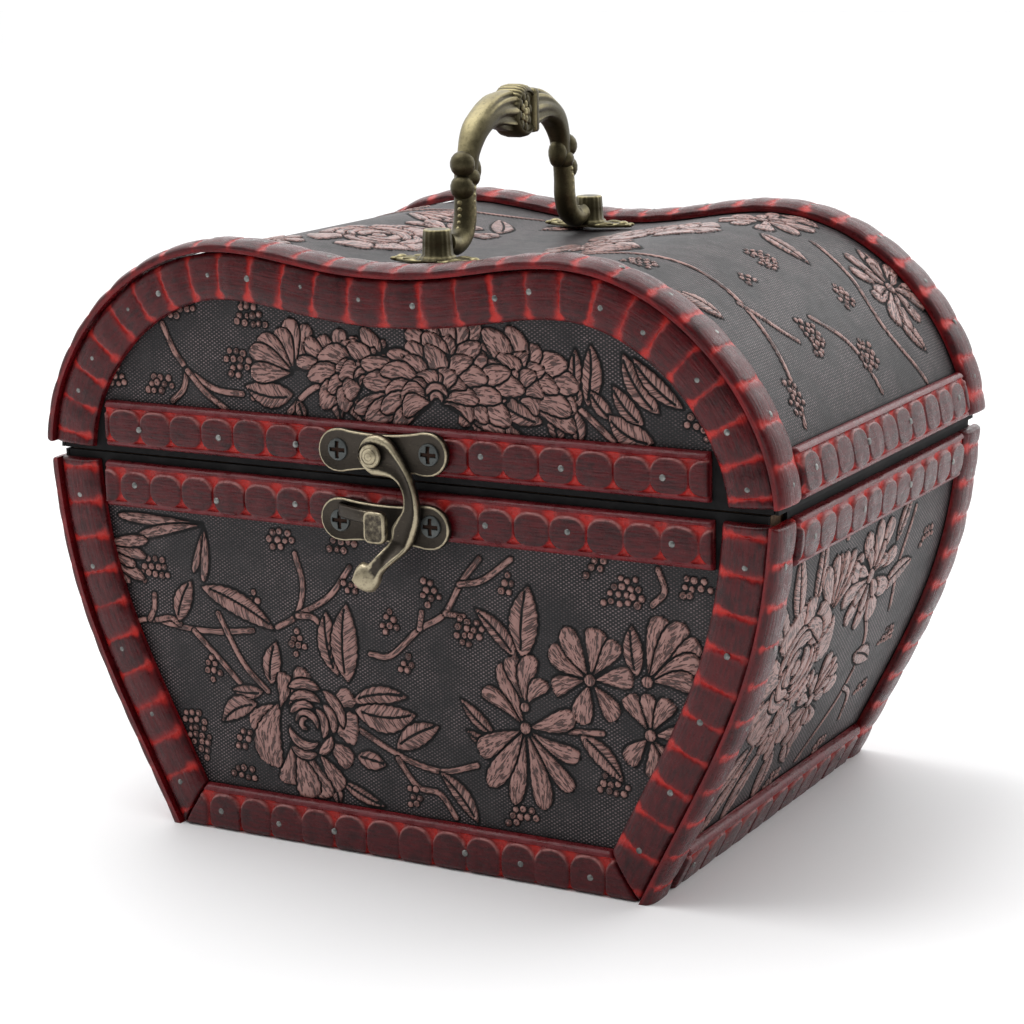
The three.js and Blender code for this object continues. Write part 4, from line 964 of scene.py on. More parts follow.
def uneven(start, stop, fine_from, fine_to, fine, coarse=2.5):
    """Places from start to stop, close together between two of them and far apart outside."""
    def span(p, q, pitch):
        return np.linspace(p, q, max(2, int(math.ceil(abs(q - p) / pitch)) + 1))

    parts = [span(start, fine_from, coarse)[:-1], span(fine_from, fine_to, fine)]
    if stop > fine_to:
        parts.append(span(fine_to, stop, coarse)[1:])
    return np.concatenate(parts)


def on_both_sides(nodes, body, rows, columns, sheet_place, world_on, spray, fade, first_seed, material):
    """Two like sheets on opposite sides of the box. world_on(side) gives the places on one of them."""
    for i, (side, node) in enumerate(zip((1, -1), nodes)):
        covering_piece(node, body, rows, columns, sheet_place, world_on(side), spray, fade,
                       first_seed + i, material)


def on_front_or_back(side):
    def world(a, b, out):
        return side * a, side * (COVER_FACE - out), b
    return world


def body_face_coverings(material, pitch):
    inner = STRIP_W - 0.5
    rows = uneven(SKIRT, high("front_covering")[2], inner, BODY_STRIP_TOP - inner, pitch)
    middle = 1 - (STRIP_W - 1) / SEAM_HALF
    columns = uneven(-1, 1, -middle, middle, pitch / SEAM_HALF, 0.03)
    inset = COVER_T + LAYER_GAP

    def sheet_place(r, c):
        return c * body_half(r, -inset), r

    def shown(a, b):
        from_edge = body_half(b, -STRIP_W) - np.abs(a)
        above_base = smoothstep(STRIP_W - 0.3, STRIP_W + 0.4, b)
        below_seam = smoothstep(-0.3, 0.4, BODY_STRIP_TOP - STRIP_W - b)
        return above_base * below_seam * smoothstep(-0.9, -0.1, from_edge)

    on_both_sides(("front_covering", "back_covering"), "chest", rows, columns, sheet_place,
                  on_front_or_back, front_spray, shown, 3, material)


def body_side_coverings(material, pitch):
    half = -COVER_FACE
    columns = uneven(BODY_SIDE.reach(SKIRT), BODY_SIDE.reach(high("right_covering")[2]),
                     BODY_SIDE.reach(STRIP_W - 0.5), BODY_SIDE.reach(BODY_STRIP_TOP - STRIP_W + 0.5), pitch)
    window = -STRIP_FACE - STRIP_W + 0.4
    rows = uneven(half, -half, window, -window, pitch)

    def sheet_place(r, c):
        return r, c

    low_edge, high_edge = BODY_SIDE.reach(STRIP_W), BODY_SIDE.reach(BODY_STRIP_TOP - STRIP_W)

    def shown(a, b):
        upright = smoothstep(-0.4, 0.3, b - low_edge) * smoothstep(-0.4, 0.3, high_edge - b)
        return upright * smoothstep(-0.4, 0.3, window - 0.4 - np.abs(a))

    def on_side(side):
        def world(a, b, out):
            x, z = BODY_SIDE.place(b, out)
            return side * x, side * a, z
        return world

    on_both_sides(("right_covering", "left_covering"), "chest", rows, columns, sheet_place,
                  on_side, side_spray, shown, 7, material)


def lid_face_coverings(material, pitch):
    inset = COVER_T + LAYER_GAP
    rim = low("lid_front_covering")[2]
    window = LID_HALF - STRIP_W
    columns = uneven(-LID_HALF + inset, LID_HALF - inset, -window, window, pitch, 1.2)
    visible = (LID_STRIP_LOW + STRIP_W - 0.5 - rim) / (CREST_Z - rim)
    rows = uneven(0, 1, visible, 0.78, pitch / (CREST_Z - rim), 0.06)

    def sheet_place(r, c):
        top = lid_top_z(c, -inset)
        return c, rim + r * (np.maximum(top, rim + 0.5) - rim)

    def shown(a, b):
        below_arch = lid_top_z(a, -STRIP_W) - b
        sides = smoothstep(-0.3, 0.4, LID_HALF - STRIP_W - 0.2 - np.abs(a))
        above_seam = smoothstep(-0.4, 0.3, b - LID_STRIP_LOW - STRIP_W)
        return sides * smoothstep(-0.5, 0.2, below_arch) * above_seam

    on_both_sides(("lid_front_covering", "lid_back_covering"), "lid", rows, columns, sheet_place,
                  on_front_or_back, lid_front_spray, shown, 11, material)


def lid_top_covering(material, pitch):
    half = -COVER_FACE
    first = LID_ARCH.reach(low("lid_top_covering")[2])
    last = LID_ARCH.length - first
    strip_edge = LID_ARCH.reach(LID_STRIP_LOW + STRIP_W)
    columns = uneven(first, last, strip_edge - 0.4, last + first - strip_edge + 0.4, pitch)
    window = -STRIP_FACE - STRIP_W
    rows = uneven(-half, half, -window - 0.4, window + 0.4, pitch)

    def sheet_place(r, c):
        return c, r

    def shown(a, b):
        ends = smoothstep(-0.4, 0.3, np.minimum(a, LID_ARCH.length - a) - strip_edge)
        return ends * smoothstep(-0.4, 0.3, window - np.abs(b))

    def world(a, b, out):
        x, z = LID_ARCH.place(a, out)
        return x, b, z

    covering_piece("lid_top_covering", "lid", rows, columns, sheet_place, world, lid_top_spray, shown,
                   15, material)


# ---------- carved strips ----------

# How each kind of strip is carved. Shares of the strip's width, from its outer edge: where its pillows'
# middle is and half their height. Then how square their outer and inner ends are, how much of a rail
# is left along each edge, and the side that the light catches.
CARVINGS = {
    "arches_in": (0.475, 0.365, 3.4, 2.6, 1.0, 1.0, 1),
    "arches_out": (0.53, 0.36, 2.6, 2.9, 1.0, 0.85, -1),
    "footed": (0.41, 0.44, 5.0, 2.4, 0.0, 1.0, 1),
    "rounded": (0.5, 0.5, 4.2, 3.4, 0.0, 0.12, 0),
    "wrapped": (0.5, 0.5, 4.2, 3.4, 0.0, 0.12, 0),
}


def quarter_round(distance, radius):
    """Rises from 0 at an edge to 1 at a distance of the radius, as a rounded corner does."""
    return np.sqrt(np.clip(1 - (1 - np.clip(distance / radius, 0, 1))**2, 0, 1))


def carving(u, v, length, kind, settings, rng):
    """Relief of a strip at u along it and v across it from its outer edge: height and colour masks.

    Pillows stand in a row, with a cusp at each corner where two of them meet. The rounded kinds are
    one smooth roll, parted by notches that flare towards their ends."""
    middle_share, half_share, outer_square, inner_square, outer_rail, inner_rail, lit = CARVINGS[kind]
    pitch = settings.pitch
    count = int(length // pitch) + 3
    phase = rng.uniform(0, pitch)
    cell = np.clip(np.floor((u + phase) / pitch).astype(int), 0, count)
    jitter = rng.uniform(-1, 1, (count + 1, 5))
    centre = (cell + 0.5) * pitch - phase + 0.22 * jitter[cell, 0]
    half_w = (0.507 + 0.006 * jitter[cell, 1]) * pitch
    middle = middle_share * STRIP_W + 0.12 * jitter[cell, 2]
    half_h = half_share * STRIP_W + 0.12 * jitter[cell, 3]
    x, y = (u - centre) / half_w, (v - middle) / half_h
    squareness = np.where(y > 0, inner_square, outer_square)
    r = (np.abs(x)**squareness + np.abs(y)**squareness)**(1 / squareness)
    pillow = smoothstep(1.04, 0.91, r)
    # rim is a painted highlight: a thin light line along each pillow's edge on the side the light comes from.
    rim = np.exp(-((r - 0.95) / 0.05)**2) * smoothstep(0.15, 0.6, lit * y) * abs(lit)
    edge = np.minimum(v, STRIP_W - v)
    rail = inner_rail * smoothstep(1.5, 1.15, STRIP_W - v) + outer_rail * smoothstep(1.2, 0.8, v)
    outside = (1 - pillow) * (1 - np.clip(rail, 0, 1))
    corner = np.minimum(np.abs(u - centre) / half_w, 1.05)
    cusp = smoothstep(0.5, 0.95, corner) * outside * smoothstep(0.35, 0.75, np.abs(y))
    rounding = quarter_round(edge, 1.5)
    dome = np.sqrt(np.clip(1 - 0.7 * np.clip(r, 0, 1)**2, 0, 1))
    height = 0.66 + 0.16 * rail - 0.12 * cusp + pillow * (0.1 + 0.14 * dome) + 0.035 * rim
    dark = 1 - 0.3 * np.clip(r, 0, 1)**5
    red_ground = 0.3 * outside
    if kind in ("rounded", "wrapped"):
        gap = np.abs(np.abs(u - centre) / half_w - 1)
        ragged = np.sin(2.3 * v + 9 * jitter[cell, 2])
        ragged = 0.75 + 0.35 * ragged * np.sin(0.9 * v + 7 * jitter[cell, 3])
        flare = (0.09 + 0.22 * y**2 + 0.2 * smoothstep(0.3, 1.0, y)) * ragged
        notch = np.exp(-(gap / flare)**2) * smoothstep(1.02, 0.86, np.abs(y))
        side = 0.55 + 0.45 * smoothstep(-0.6, 0.5, y)
        halo = np.exp(-(gap / 0.42)**2) * (0.35 + 0.3 * jitter[cell, 1])
        cusp = notch * side * (0.75 + 0.25 * jitter[cell, 4])
        rounding = quarter_round(edge, 4.0)
        height = 0.93 - 0.1 * notch + 0.03 * np.cos(math.pi * x)
        if kind == "wrapped":
            halo = np.clip(1.7 * halo + 0.25 + 0.2 * jitter[cell, 0], 0, 1)
        pillow, rim, rail = 1 - 0.85 * notch - 0.15 * halo, np.zeros(r.shape), np.zeros(r.shape)
        red_ground = 0.25 * notch + 0.3 * halo
        dark = 0.84 + 0.16 * jitter[cell, 4] - 0.42 * smoothstep(0.5, 1.0, np.abs(x)) * side
    worn = 0.012 * np.sin(u * 0.9 + 3 * np.sin(u * 0.17)) * pillow
    height = np.clip((height + worn) * (0.42 + 0.58 * rounding), 0, 1)
    masks = {
        "pillow": pillow * dark,
        "cusp": np.clip(cusp + red_ground, 0, 1),
        "rim": rim,
        "rail": np.clip(rail, 0, 1),
    }
    return height, masks


def strip_piece(node, body, kind, ends, world, settings, material, seed):
    """A carved strip. ends(v) gives where it starts and stops, and world(u, v, out) places it."""
    across = np.linspace(0.22, STRIP_W - 0.22, 40)
    v_line = np.concatenate([[0, 0.08], across, [STRIP_W - 0.08, STRIP_W]])
    start, stop = ends(v_line)
    length = float(np.max(stop - start))
    stations = max(8, int(length / settings.detail))
    t = np.linspace(0, 1, stations + 1)
    end_drop = np.minimum(t, 1 - t) * length
    t = t[:, None]
    u = start[None, :] + t * (stop - start)[None, :]
    v = np.broadcast_to(v_line, u.shape)
    rng = np.random.default_rng(seed)
    whole = float(np.max(stop) - np.min(start))
    relief, masks = carving(u - np.min(start), v, whole, kind, settings, rng)
    lip = 0.6 + 0.4 * quarter_round(end_drop, 0.8)
    height = STRIP_T * relief * lip[:, None]
    top = np.stack(world(u, v, height), -1)
    pad = np.zeros((stations + 1, 2))
    foot_u, foot_v = u[:, [-1, 0]], v[:, [-1, 0]]
    foot = np.stack(world(foot_u, foot_v, pad), -1)
    points, faces = loft(np.concatenate([top, foot], 1))
    attributes = {key: np.concatenate([mask, pad], 1).ravel() for key, mask in masks.items()}
    shift = 40.0 * seed  # so that no two strips share their grain
    along = np.stack([u + shift, v, height], -1)
    along_foot = np.stack([foot_u + shift, foot_v, pad - 1], -1)
    attributes["along"] = np.concatenate([along, along_foot], 1).reshape(-1, 3)
    piece = mesh_piece("carved_" + node, points, faces, material, attributes, sharp_angle=50)
    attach(piece, body)
    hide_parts(node)


def on_face(line, side, mirror):
    """World places of a strip that lies on the front or back, beside an outline."""
    def world(u, v, out):
        x, z = line.place(u, -v)
        return mirror * x, side * (STRIP_FACE + STRIP_T - out), z
    return world


def over_edge(line, side, mirror):
    """World places of a strip that wraps an outline, at the front or back edge of the box."""
    def world(u, v, out):
        x, z = line.place(u, LAYER_GAP + out)
        return mirror * x, side * (STRIP_FACE + v), np.maximum(z, 0)
    return world


def straight_on_face(side, z_outer, inwards):
    """World places of a straight strip on the front or back. Its outer edge is at one height."""
    def world(u, v, out):
        return side * u, side * (STRIP_FACE + STRIP_T - out), z_outer + inwards * v
    return world


def across_side(line, mirror, outer, inwards):
    """World places of a strip that runs front to back over an outline. One that starts at the foot
    is stretched to the height of a strip, because the side leans there."""
    stretch = line.reach(STRIP_W) / STRIP_W if outer < 1 else 1.0

    def world(u, v, out):
        x, z = line.place(outer + inwards * v * stretch, LAYER_GAP + out)
        return mirror * x, u * mirror, np.maximum(z, 0)

    return world


def constant_ends(start, stop):
    return lambda v: (np.full(len(v), float(start)), np.full(len(v), float(stop)))


def carved_strips(settings, material):
    foot_cut = BODY_SIDE.reach(STRIP_W, -STRIP_W)
    body_top = BODY_SIDE.reach(BODY_STRIP_TOP)
    lean_up = BODY_SIDE.reach(BODY_STRIP_TOP, -STRIP_W) - body_top
    foot_half = high("front_base_strip")[0]
    rise_half = foot_half - (body_half(0) - float(BODY_SIDE.place(foot_cut, -STRIP_W)[0]))

    def upright_ends(v):
        return foot_cut * v / STRIP_W, body_top + lean_up * v / STRIP_W

    def mitred_ends(v):
        half = foot_half - (foot_half - rise_half) * v / STRIP_W
        return -half, half

    rim = LID_ARCH.reach(LID_STRIP_LOW)
    edge_ends, arch_ends = constant_ends(0, body_top), constant_ends(rim, LID_ARCH.length - rim)
    seam_ends, lid_seam_ends, side_ends = (
        constant_ends(-half, half) for half in (
            high("front_seam_strip")[0], high("lid_front_seam_strip")[0], high("right_seam_strip")[1])
    )
    jobs = []
    for name, side in (("front", 1), ("back", -1)):
        for half, mirror in (("right", 1), ("left", -1)):
            face_world, edge_world = on_face(BODY_SIDE, side, mirror), over_edge(BODY_SIDE, side, mirror)
            jobs += [
                (f"{name}_{half}_strip", "chest", "rounded", upright_ends, face_world),
                (f"{half}_{name}_strip", "chest", "wrapped", edge_ends, edge_world),
            ]
        base_world = straight_on_face(side, 0, 1)
        seam_world = straight_on_face(side, BODY_STRIP_TOP, -1)
        lid_seam_world = straight_on_face(side, LID_STRIP_LOW, 1)
        arch_world, top_world = on_face(LID_ARCH, side, 1), over_edge(LID_ARCH, side, 1)
        jobs += [
            (f"{name}_base_strip", "chest", "footed", mitred_ends, base_world),
            (f"{name}_seam_strip", "chest", "arches_out", seam_ends, seam_world),
            (f"lid_{name}_arch_strip", "lid", "rounded", arch_ends, arch_world),
            (f"lid_{name}_seam_strip", "lid", "arches_in", lid_seam_ends, lid_seam_world),
            (f"lid_top_{name}_strip", "lid", "wrapped", arch_ends, top_world),
        ]
    for half, mirror in (("right", 1), ("left", -1)):
        base_world, seam_world = (
            across_side(BODY_SIDE, mirror, *outer) for outer in ((0, 1), (body_top, -1))
        )
        jobs += [
            (f"{half}_base_strip", "chest", "footed", side_ends, base_world),
            (f"{half}_seam_strip", "chest", "arches_out", side_ends, seam_world),
            (f"lid_{half}_seam_strip", "lid", "arches_in", side_ends, across_side(LID_ARCH, mirror, rim, 1)),
        ]
    for seed, job in enumerate(jobs, 21):
        strip_piece(*job, settings, material, seed)


# ---------- pins that hold the strips ----------

PIN_R = 0.72
PIN_LIFT = 0.85 * STRIP_T  # of a pin's foot above the strip's back


def pin_head(centre, outward):
    """A small domed head. Its foot sinks a little into the strip."""
    profile = [(PIN_R, -0.35, 0.7), (PIN_R, 0.05, 0.7), (0.85 * PIN_R, 0.2, 0.7), (0.5 * PIN_R, 0.3, 0.7)]
    return turned(profile, centre, outward, 10)


def strip_pins(material):
    rng = np.random.default_rng(77)
    groups = {"chest": [], "lid": []}
    pin_y = STRIP_FACE + STRIP_T - PIN_LIFT

    def face_point(line, side, mirror, u):
        v = STRIP_W * rng.uniform(0.38, 0.55)
        x, z = line.place(u, -v)
        return (mirror * float(x), side * pin_y, float(z)), (0, -side, 0)

    def edge_point(line, side, mirror, u):
        x, z = line.place(u, LAYER_GAP + PIN_LIFT)
        ahead, behind = line.place(u + 1, 0), line.place(u - 1, 0)
        away = (float(ahead[1] - behind[1]), float(behind[0] - ahead[0]))
        y = side * (STRIP_FACE + STRIP_W * rng.uniform(0.4, 0.6))
        return (mirror * float(x), y, float(z)), (mirror * away[0], 0, away[1])

    for side in (1, -1):
        for mirror in (1, -1):
            for u in np.arange(9, BODY_SIDE.length - 6, 16.5):
                groups["chest"].append(face_point(BODY_SIDE, side, mirror, u + rng.uniform(-2, 2)))
                groups["chest"].append(edge_point(BODY_SIDE, side, mirror, u + rng.uniform(-2, 2)))
        for u in np.arange(8, LID_ARCH.length - 6, 13):
            groups["lid"].append(face_point(LID_ARCH, side, 1, u + rng.uniform(-3, 3)))
            groups["lid"].append(edge_point(LID_ARCH, side, 1, u + rng.uniform(-3, 3)))
        for body, z, half in (
            ("chest", 0.45 * STRIP_W, 48), ("chest", BODY_STRIP_TOP - 0.55 * STRIP_W, 68),
            ("lid", LID_STRIP_LOW + 0.5 * STRIP_W, 66),
        ):
            for x in (-0.93, -0.62, -0.33, 0.33, 0.6, 0.93):
                place = (side * half * x, side * pin_y, z + rng.uniform(-0.8, 0.8))
                groups[body].append((place, (0, -side, 0)))
    for mirror in (1, -1):
        for body, line, z in (
            ("chest", BODY_SIDE, 0.5 * STRIP_W), ("chest", BODY_SIDE, BODY_STRIP_TOP - 0.5 * STRIP_W),
            ("lid", LID_ARCH, LID_STRIP_LOW + 0.5 * STRIP_W),
        ):
            for y in (-38, -14, 12, 37):
                (x, _, at_z), away = edge_point(line, 1, mirror, line.reach(z))
                groups[body].append(((x, y + rng.uniform(-2, 2), at_z), away))
    for body, heads in groups.items():
        fitting("strip_pins_" + body, [pin_head(*head) for head in heads], material, body)


# ---------- metal fittings ----------

def bevelled_plate(outline, y_back, thickness, bevel=0.35, channel=0.0):
    """A plate in X and Z. Its front, towards -Y, has a bevelled and worn rim, and may be sunk inside."""
    line = np.asarray(outline, float)
    along = np.roll(line, -1, 0) - np.roll(line, 1, 0)
    along /= np.linalg.norm(along, axis=1)[:, None]
    inward = np.stack([-along[:, 1], along[:, 0]], 1)
    area = 0.5 * np.sum(line[:, 0] * np.roll(line[:, 1], -1) - np.roll(line[:, 0], -1) * line[:, 1])
    if area < 0:
        inward = -inward
    front = y_back - thickness
    levels = [
        (0.0, y_back, 0.3), (0.0, front + bevel, 0.6), (0.4 * bevel, front + 0.25 * bevel, 0.95),
        (bevel, front, 0.95), (bevel + 0.15, front, 0.45), (bevel + 0.45, front + channel, 0.05),
    ]
    sections, wear = [], []
    for inset, y, worn in levels:
        ring = line + inward * inset
        sections.append(np.stack([ring[:, 0], np.full(len(ring), y), ring[:, 1]], 1))
        wear.append(np.full(len(ring), worn))
    points, faces = loft(sections)
    return points, faces, np.concatenate(wear)


def turned(profile, centre, axis, sides=32, flutes=0, flute_depth=0.0):
    """A solid of revolution. The profile gives (radius, distance along the axis, wear). Flutes are cut
    only where it is thicker than 2 mm."""
    turn = Vector(axis).normalized().to_track_quat("Z", "Y").to_matrix()
    angle = np.linspace(0, math.tau, sides, endpoint=False)
    sections, wear = [], []
    for radius, along, worn in profile:
        reach = radius - flute_depth * (1 - np.cos(flutes * angle)) * (radius > 2)
        ring = np.stack([reach * np.cos(angle), reach * np.sin(angle), np.full(sides, along)], 1)
        sections.append(ring @ np.array(turn).T + np.array(centre))
        wear.append(np.full(sides, worn))
    points, faces = loft(sections)
    return points, faces, np.concatenate(wear)


def cross_screw(centre, axis, radius, height):
    """A raised screw head with a cross recess, which stays above the plate's face."""
    rings, sides = 14, 96
    slot_half, slot_depth, foot = 0.4, 0.38, -0.3
    turn = np.array(Vector(axis).normalized().to_track_quat("Z", "Y").to_matrix())
    angle = np.linspace(0, math.tau, sides, endpoint=False) + 0.35
    sections, wear = [], []
    for i in range(rings + 1):
        r = radius * (1 - i / rings) + 0.02
        x, y = r * np.cos(angle), r * np.sin(angle)
        dome = height * (1 - 0.35 * (r / radius)**2) - (0.25 if i == 0 else 0)
        recessed = (np.minimum(np.abs(x), np.abs(y)) < slot_half) & (r < 0.74 * radius)
        recessed |= r < 0.25 * radius
        sections.append(np.stack([x, y, dome - slot_depth * recessed], 1) @ turn.T + np.array(centre))
        # A wear below zero marks the cross recess, where rust and painted shade go.
        wear.append(np.where(recessed, -0.6, 0.55 if i < 2 else 0.15))
    base = np.stack([radius * np.cos(angle), radius * np.sin(angle), np.full(sides, foot)], 1)
    points, faces = loft([base @ turn.T + np.array(centre), *sections])
    return points, faces, np.concatenate([np.full(sides, 0.3), *wear])


def ball(centre, radius, squash=(1, 1, 1), wear=0.5, rings=9, sides=18):
    """A round knob, stretched along each axis by squash."""
    angles = [math.pi * i / rings for i in range(rings + 1)]
    profile = [(max(radius * math.sin(a), 0.02), -radius * math.cos(a), 0) for a in angles]
    points, faces, _ = turned(profile, (0, 0, 0), (0, 0, 1), sides)
    return points * squash + np.array(centre), faces, wear


def fitting(name, parts, material, body, nodes=(), sharp_angle=40):
    """One piece from several parts. It rides on a body, and stands for the frame's nodes given."""
    points, faces, wear = merged(*parts)
    piece = mesh_piece(name, points, faces, material, {"wear": wear}, sharp_angle=sharp_angle)
    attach(piece, body)
    if nodes:
        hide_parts(*nodes)


def rounded_plate_outline(left, right, low_z, high_z, waist):
    """A plate with a round lobe at each end, slightly waisted between them."""
    radius = (high_z - low_z) / 2
    middle = (high_z + low_z) / 2
    a = np.linspace(-math.pi / 2, math.pi / 2, 13)
    right_lobe = np.stack([right - radius + radius * np.cos(a), middle + radius * np.sin(a)], 1)
    x = np.linspace(right - radius, left + radius, 18)[1:-1]
    dip = waist * np.sin(np.pi * (x - x[-1]) / (x[0] - x[-1]))**0.8
    top = np.stack([x, high_z - dip], 1)
    left_lobe = right_lobe[::-1] * (-1, 1) + (left + right, 0)
    bottom = np.stack([x[::-1], low_z + dip[::-1]], 1)
    return np.vstack([right_lobe, top, left_lobe, bottom])


# The hook's two edges from its head to its tail, right and left of the pivot and above it.
HOOK_OUTER = (
    (-3.2, 0.6), (-1.9, 3.2), (0.8, 4.2), (4.0, 3.0), (5.9, 0.5), (7.8, -2.5), (9.2, -5.6), (10.0, -8.6),
    (10.2, -11.9), (9.5, -14.9), (7.9, -18.2), (5.4, -21.2), (3.4, -23.4), (2.6, -25.4), (0.8, -27.4),
    (-1.4, -27.0), (-2.6, -25.2),
)
HOOK_INNER = (
    (-3.2, -0.6), (-2.2, -2.6), (-0.4, -4.0), (2.0, -4.1), (4.4, -4.4), (6.2, -5.8), (7.0, -8.2),
    (6.6, -10.8), (5.2, -12.6), (4.0, -14.4), (3.8, -16.4), (2.9, -18.9), (1.2, -20.8), (-0.2, -21.6),
    (-1.4, -21.4), (-2.5, -22.4), (-2.8, -24.4),
)
HOOK_T = 1.7
HOOK_TAIL_T = 2.0
HOOK_BEND = (-17.2, -21.2)  # heights from the pivot between which the hook turns forwards


def hook_part():
    """The hook as a ribbon between its edges. Its tail bends out to pass before the tongue."""
    hook_low, hook_high = low("latch_hook"), high("latch_hook")
    pivot = latch_pivot()
    outer, inner = smooth_line(HOOK_OUTER, 90) + pivot, smooth_line(HOOK_INNER, 90) + pivot
    back = hook_high[1]
    reach = (hook_high[1] - hook_low[1]) - HOOK_TAIL_T
    # Across the ribbon: where each point is, how far it stands out, and how worn it is.
    across = np.array([0, 0, 0.05, 0.12, 0.2, 0.3, 0.5, 0.7, 0.8, 0.88, 0.95, 1, 1])
    lift = np.array([0, 0.6, 0.92, 1, 0.93, 0.72, 0.66, 0.72, 0.93, 1, 0.92, 0.6, 0])
    worn = np.array([0.2, 0.8, 1, 1, 0.5, 0, 0, 0, 0.5, 1, 1, 0.8, 0.2])
    sections, wear = [], []
    for i, (o, n) in enumerate(zip(outer, inner)):
        share = i / (len(outer) - 1)
        bent = float(smoothstep(pivot[1] + HOOK_BEND[0], pivot[1] + HOOK_BEND[1], 0.5 * (o[1] + n[1])))
        knob = float(smoothstep(0.8, 0.9, share))
        plump = HOOK_T * (1 + 0.5 * knob * math.sin(math.pi * min(1, (1 - share) / 0.14 * 0.5 + 0.5)))
        shape = lift + knob * (np.sqrt(np.clip(1 - (2 * across - 1)**2, 0, 1)) - lift) * 0.85
        x = o[0] + (n[0] - o[0]) * across
        z = o[1] + (n[1] - o[1]) * across
        sections.append(np.stack([x, back - reach * bent - plump * shape, z], 1))
        wear.append(np.clip(worn + 0.9 * knob + 0.25 * bent, 0, 1))
    points, faces = loft(sections)
    return points, faces, np.concatenate(wear)


def latch_pivot():
    rivet_low, rivet_high = low("latch_rivet"), high("latch_rivet")
    return np.array([(rivet_low[0] + rivet_high[0]) / 2, (rivet_low[2] + rivet_high[2]) / 2])


def tongue_part():
    """The keeper's tongue: a bar that rises from the plate to a blunt upright block with a worn face."""
    keeper_low, keeper_high = low("latch_keeper"), high("latch_keeper")
    middle = (keeper_low[2] + keeper_high[2]) / 2
    back, front = keeper_high[1], keeper_low[1]
    thick = 1.3  # of the block, behind which the hook's neck passes
    path = smooth_line(((-10.6, back - 0.6), (-9.4, back - 2.0), (-6.4, front + 2.0),
                        (-3.6, front + 1.4), (-1, front + thick)), 20)
    angle = np.linspace(0, math.tau, 20, endpoint=False)
    c, s = np.cos(angle), np.sin(angle)
    sections, wear = [], []
    for i, (x, y) in enumerate(path):
        share = i / (len(path) - 1)
        ring_y = y + 0.85 * power(c, 0.6)
        ring_z = middle + 2.2 - 0.5 * share + 1.35 * power(s, 0.6)
        sections.append(np.stack([np.full(20, x), ring_y, ring_z], 1))
        wear.append(np.full(20, 0.15 + 0.5 * share))
    points, faces = loft(sections)
    corner = 1.5
    left, right, bottom, top = -2.7 + corner, 2.4 - corner, middle - 3.5 + corner, middle + 3.2 - corner
    outline = [
        polar(centre, a + turn * math.pi / 2, corner)
        for turn, centre in enumerate(((right, top), (left, top), (left, bottom), (right, bottom)))
        for a in np.linspace(0, math.pi / 2, 5)
    ]
    block_points, block_faces, block_wear = bevelled_plate(outline, front + thick, thick, 0.5, 0.06)
    worn_face = np.maximum(block_wear, 0.62)
    return merged((points, faces, np.concatenate(wear)), (block_points, block_faces, worn_face))


def build_latch():
    brass, steel = metal("aged_brass"), metal("dark_steel")
    plate_low, plate_high = low("latch_plate"), high("latch_plate")
    keeper_low, keeper_high = low("latch_keeper"), high("latch_keeper")
    pivot = latch_pivot()
    thick = plate_high[1] - plate_low[1]
    upper = rounded_plate_outline(plate_low[0], plate_high[0], plate_low[2], plate_high[2], 0.9)
    upper = upper + (0, 0.03) * upper[:, :1]  # this plate sits a little askew
    plate = bevelled_plate(upper, plate_high[1], thick, channel=0.15)
    fitting("latch_upper_plate", [plate], brass, "lid", ["latch_plate"])
    lower = rounded_plate_outline(keeper_low[0], keeper_high[0], keeper_low[2], keeper_high[2], 0.7)
    plate = bevelled_plate(lower, keeper_high[1], thick, channel=0.15)
    fitting("latch_lower_plate", [plate, tongue_part()], brass, "chest", ["latch_keeper"])
    fitting("latch_swing_hook", [hook_part()], brass, "latch_hook", ["latch_hook"], sharp_angle=55)
    rings = [(1.3, 0, 0.2), (1.3, 3.2, 0.2), (2.35, 3.3, 0.6), (2.4, 3.6, 0.9), (2.25, 3.95, 1),
             (1.75, 4.2, 1), (1.6, 4.12, 0.7), (1.4, 4.32, 1), (0.95, 4.45, 1), (0.8, 4.38, 0.7),
             (0.6, 4.5, 1), (0.15, 4.45, 0.8)]
    centre = (pivot[0], low("latch_rivet")[1] + 4.5, pivot[1])
    fitting("latch_domed_rivet", [turned(rings, centre, (0, -1, 0))], brass, "lid", ["latch_rivet"])
    screw_y = plate_low[1] + 0.3
    inset = 0.5 * (plate_high[2] - plate_low[2])
    for body, corner_low, corner_high in (("lid", plate_low, plate_high), ("chest", keeper_low, keeper_high)):
        z = (corner_low[2] + corner_high[2]) / 2
        heads = [cross_screw((x, screw_y, z + rise), (0, -1, 0), 2.3, 0.7)
                 for x, rise in ((corner_low[0] + inset + 0.2, -0.2), (corner_high[0] - inset + 0.3, 0.35))]
        fitting(f"latch_{body}_screws", heads, steel, body)


def swept(path, section_at):
    """A bar along a path in Y and Z. section_at(share, angle) gives the section's ring in X, its ring
    along the path's normal, and its wear."""
    line = smooth_line(path, 150)
    along = np.gradient(line, axis=0)
    along /= np.linalg.norm(along, axis=1)[:, None]
    normal = np.stack([-along[:, 1], along[:, 0]], 1)
    angle = np.linspace(0, math.tau, 64, endpoint=False)
    sections, wear = [], []
    for i, (point, side) in enumerate(zip(line, normal)):
        share = i / (len(line) - 1)
        ring_x, ring_n, worn = section_at(share, angle)
        ring = [ring_x, point[0] + side[0] * ring_n, point[1] + side[1] * ring_n]
        sections.append(np.stack(ring, 1))
        wear.append(np.broadcast_to(worn, (len(angle),)))
    points, faces = loft(sections)
    return points, faces, np.concatenate(wear)


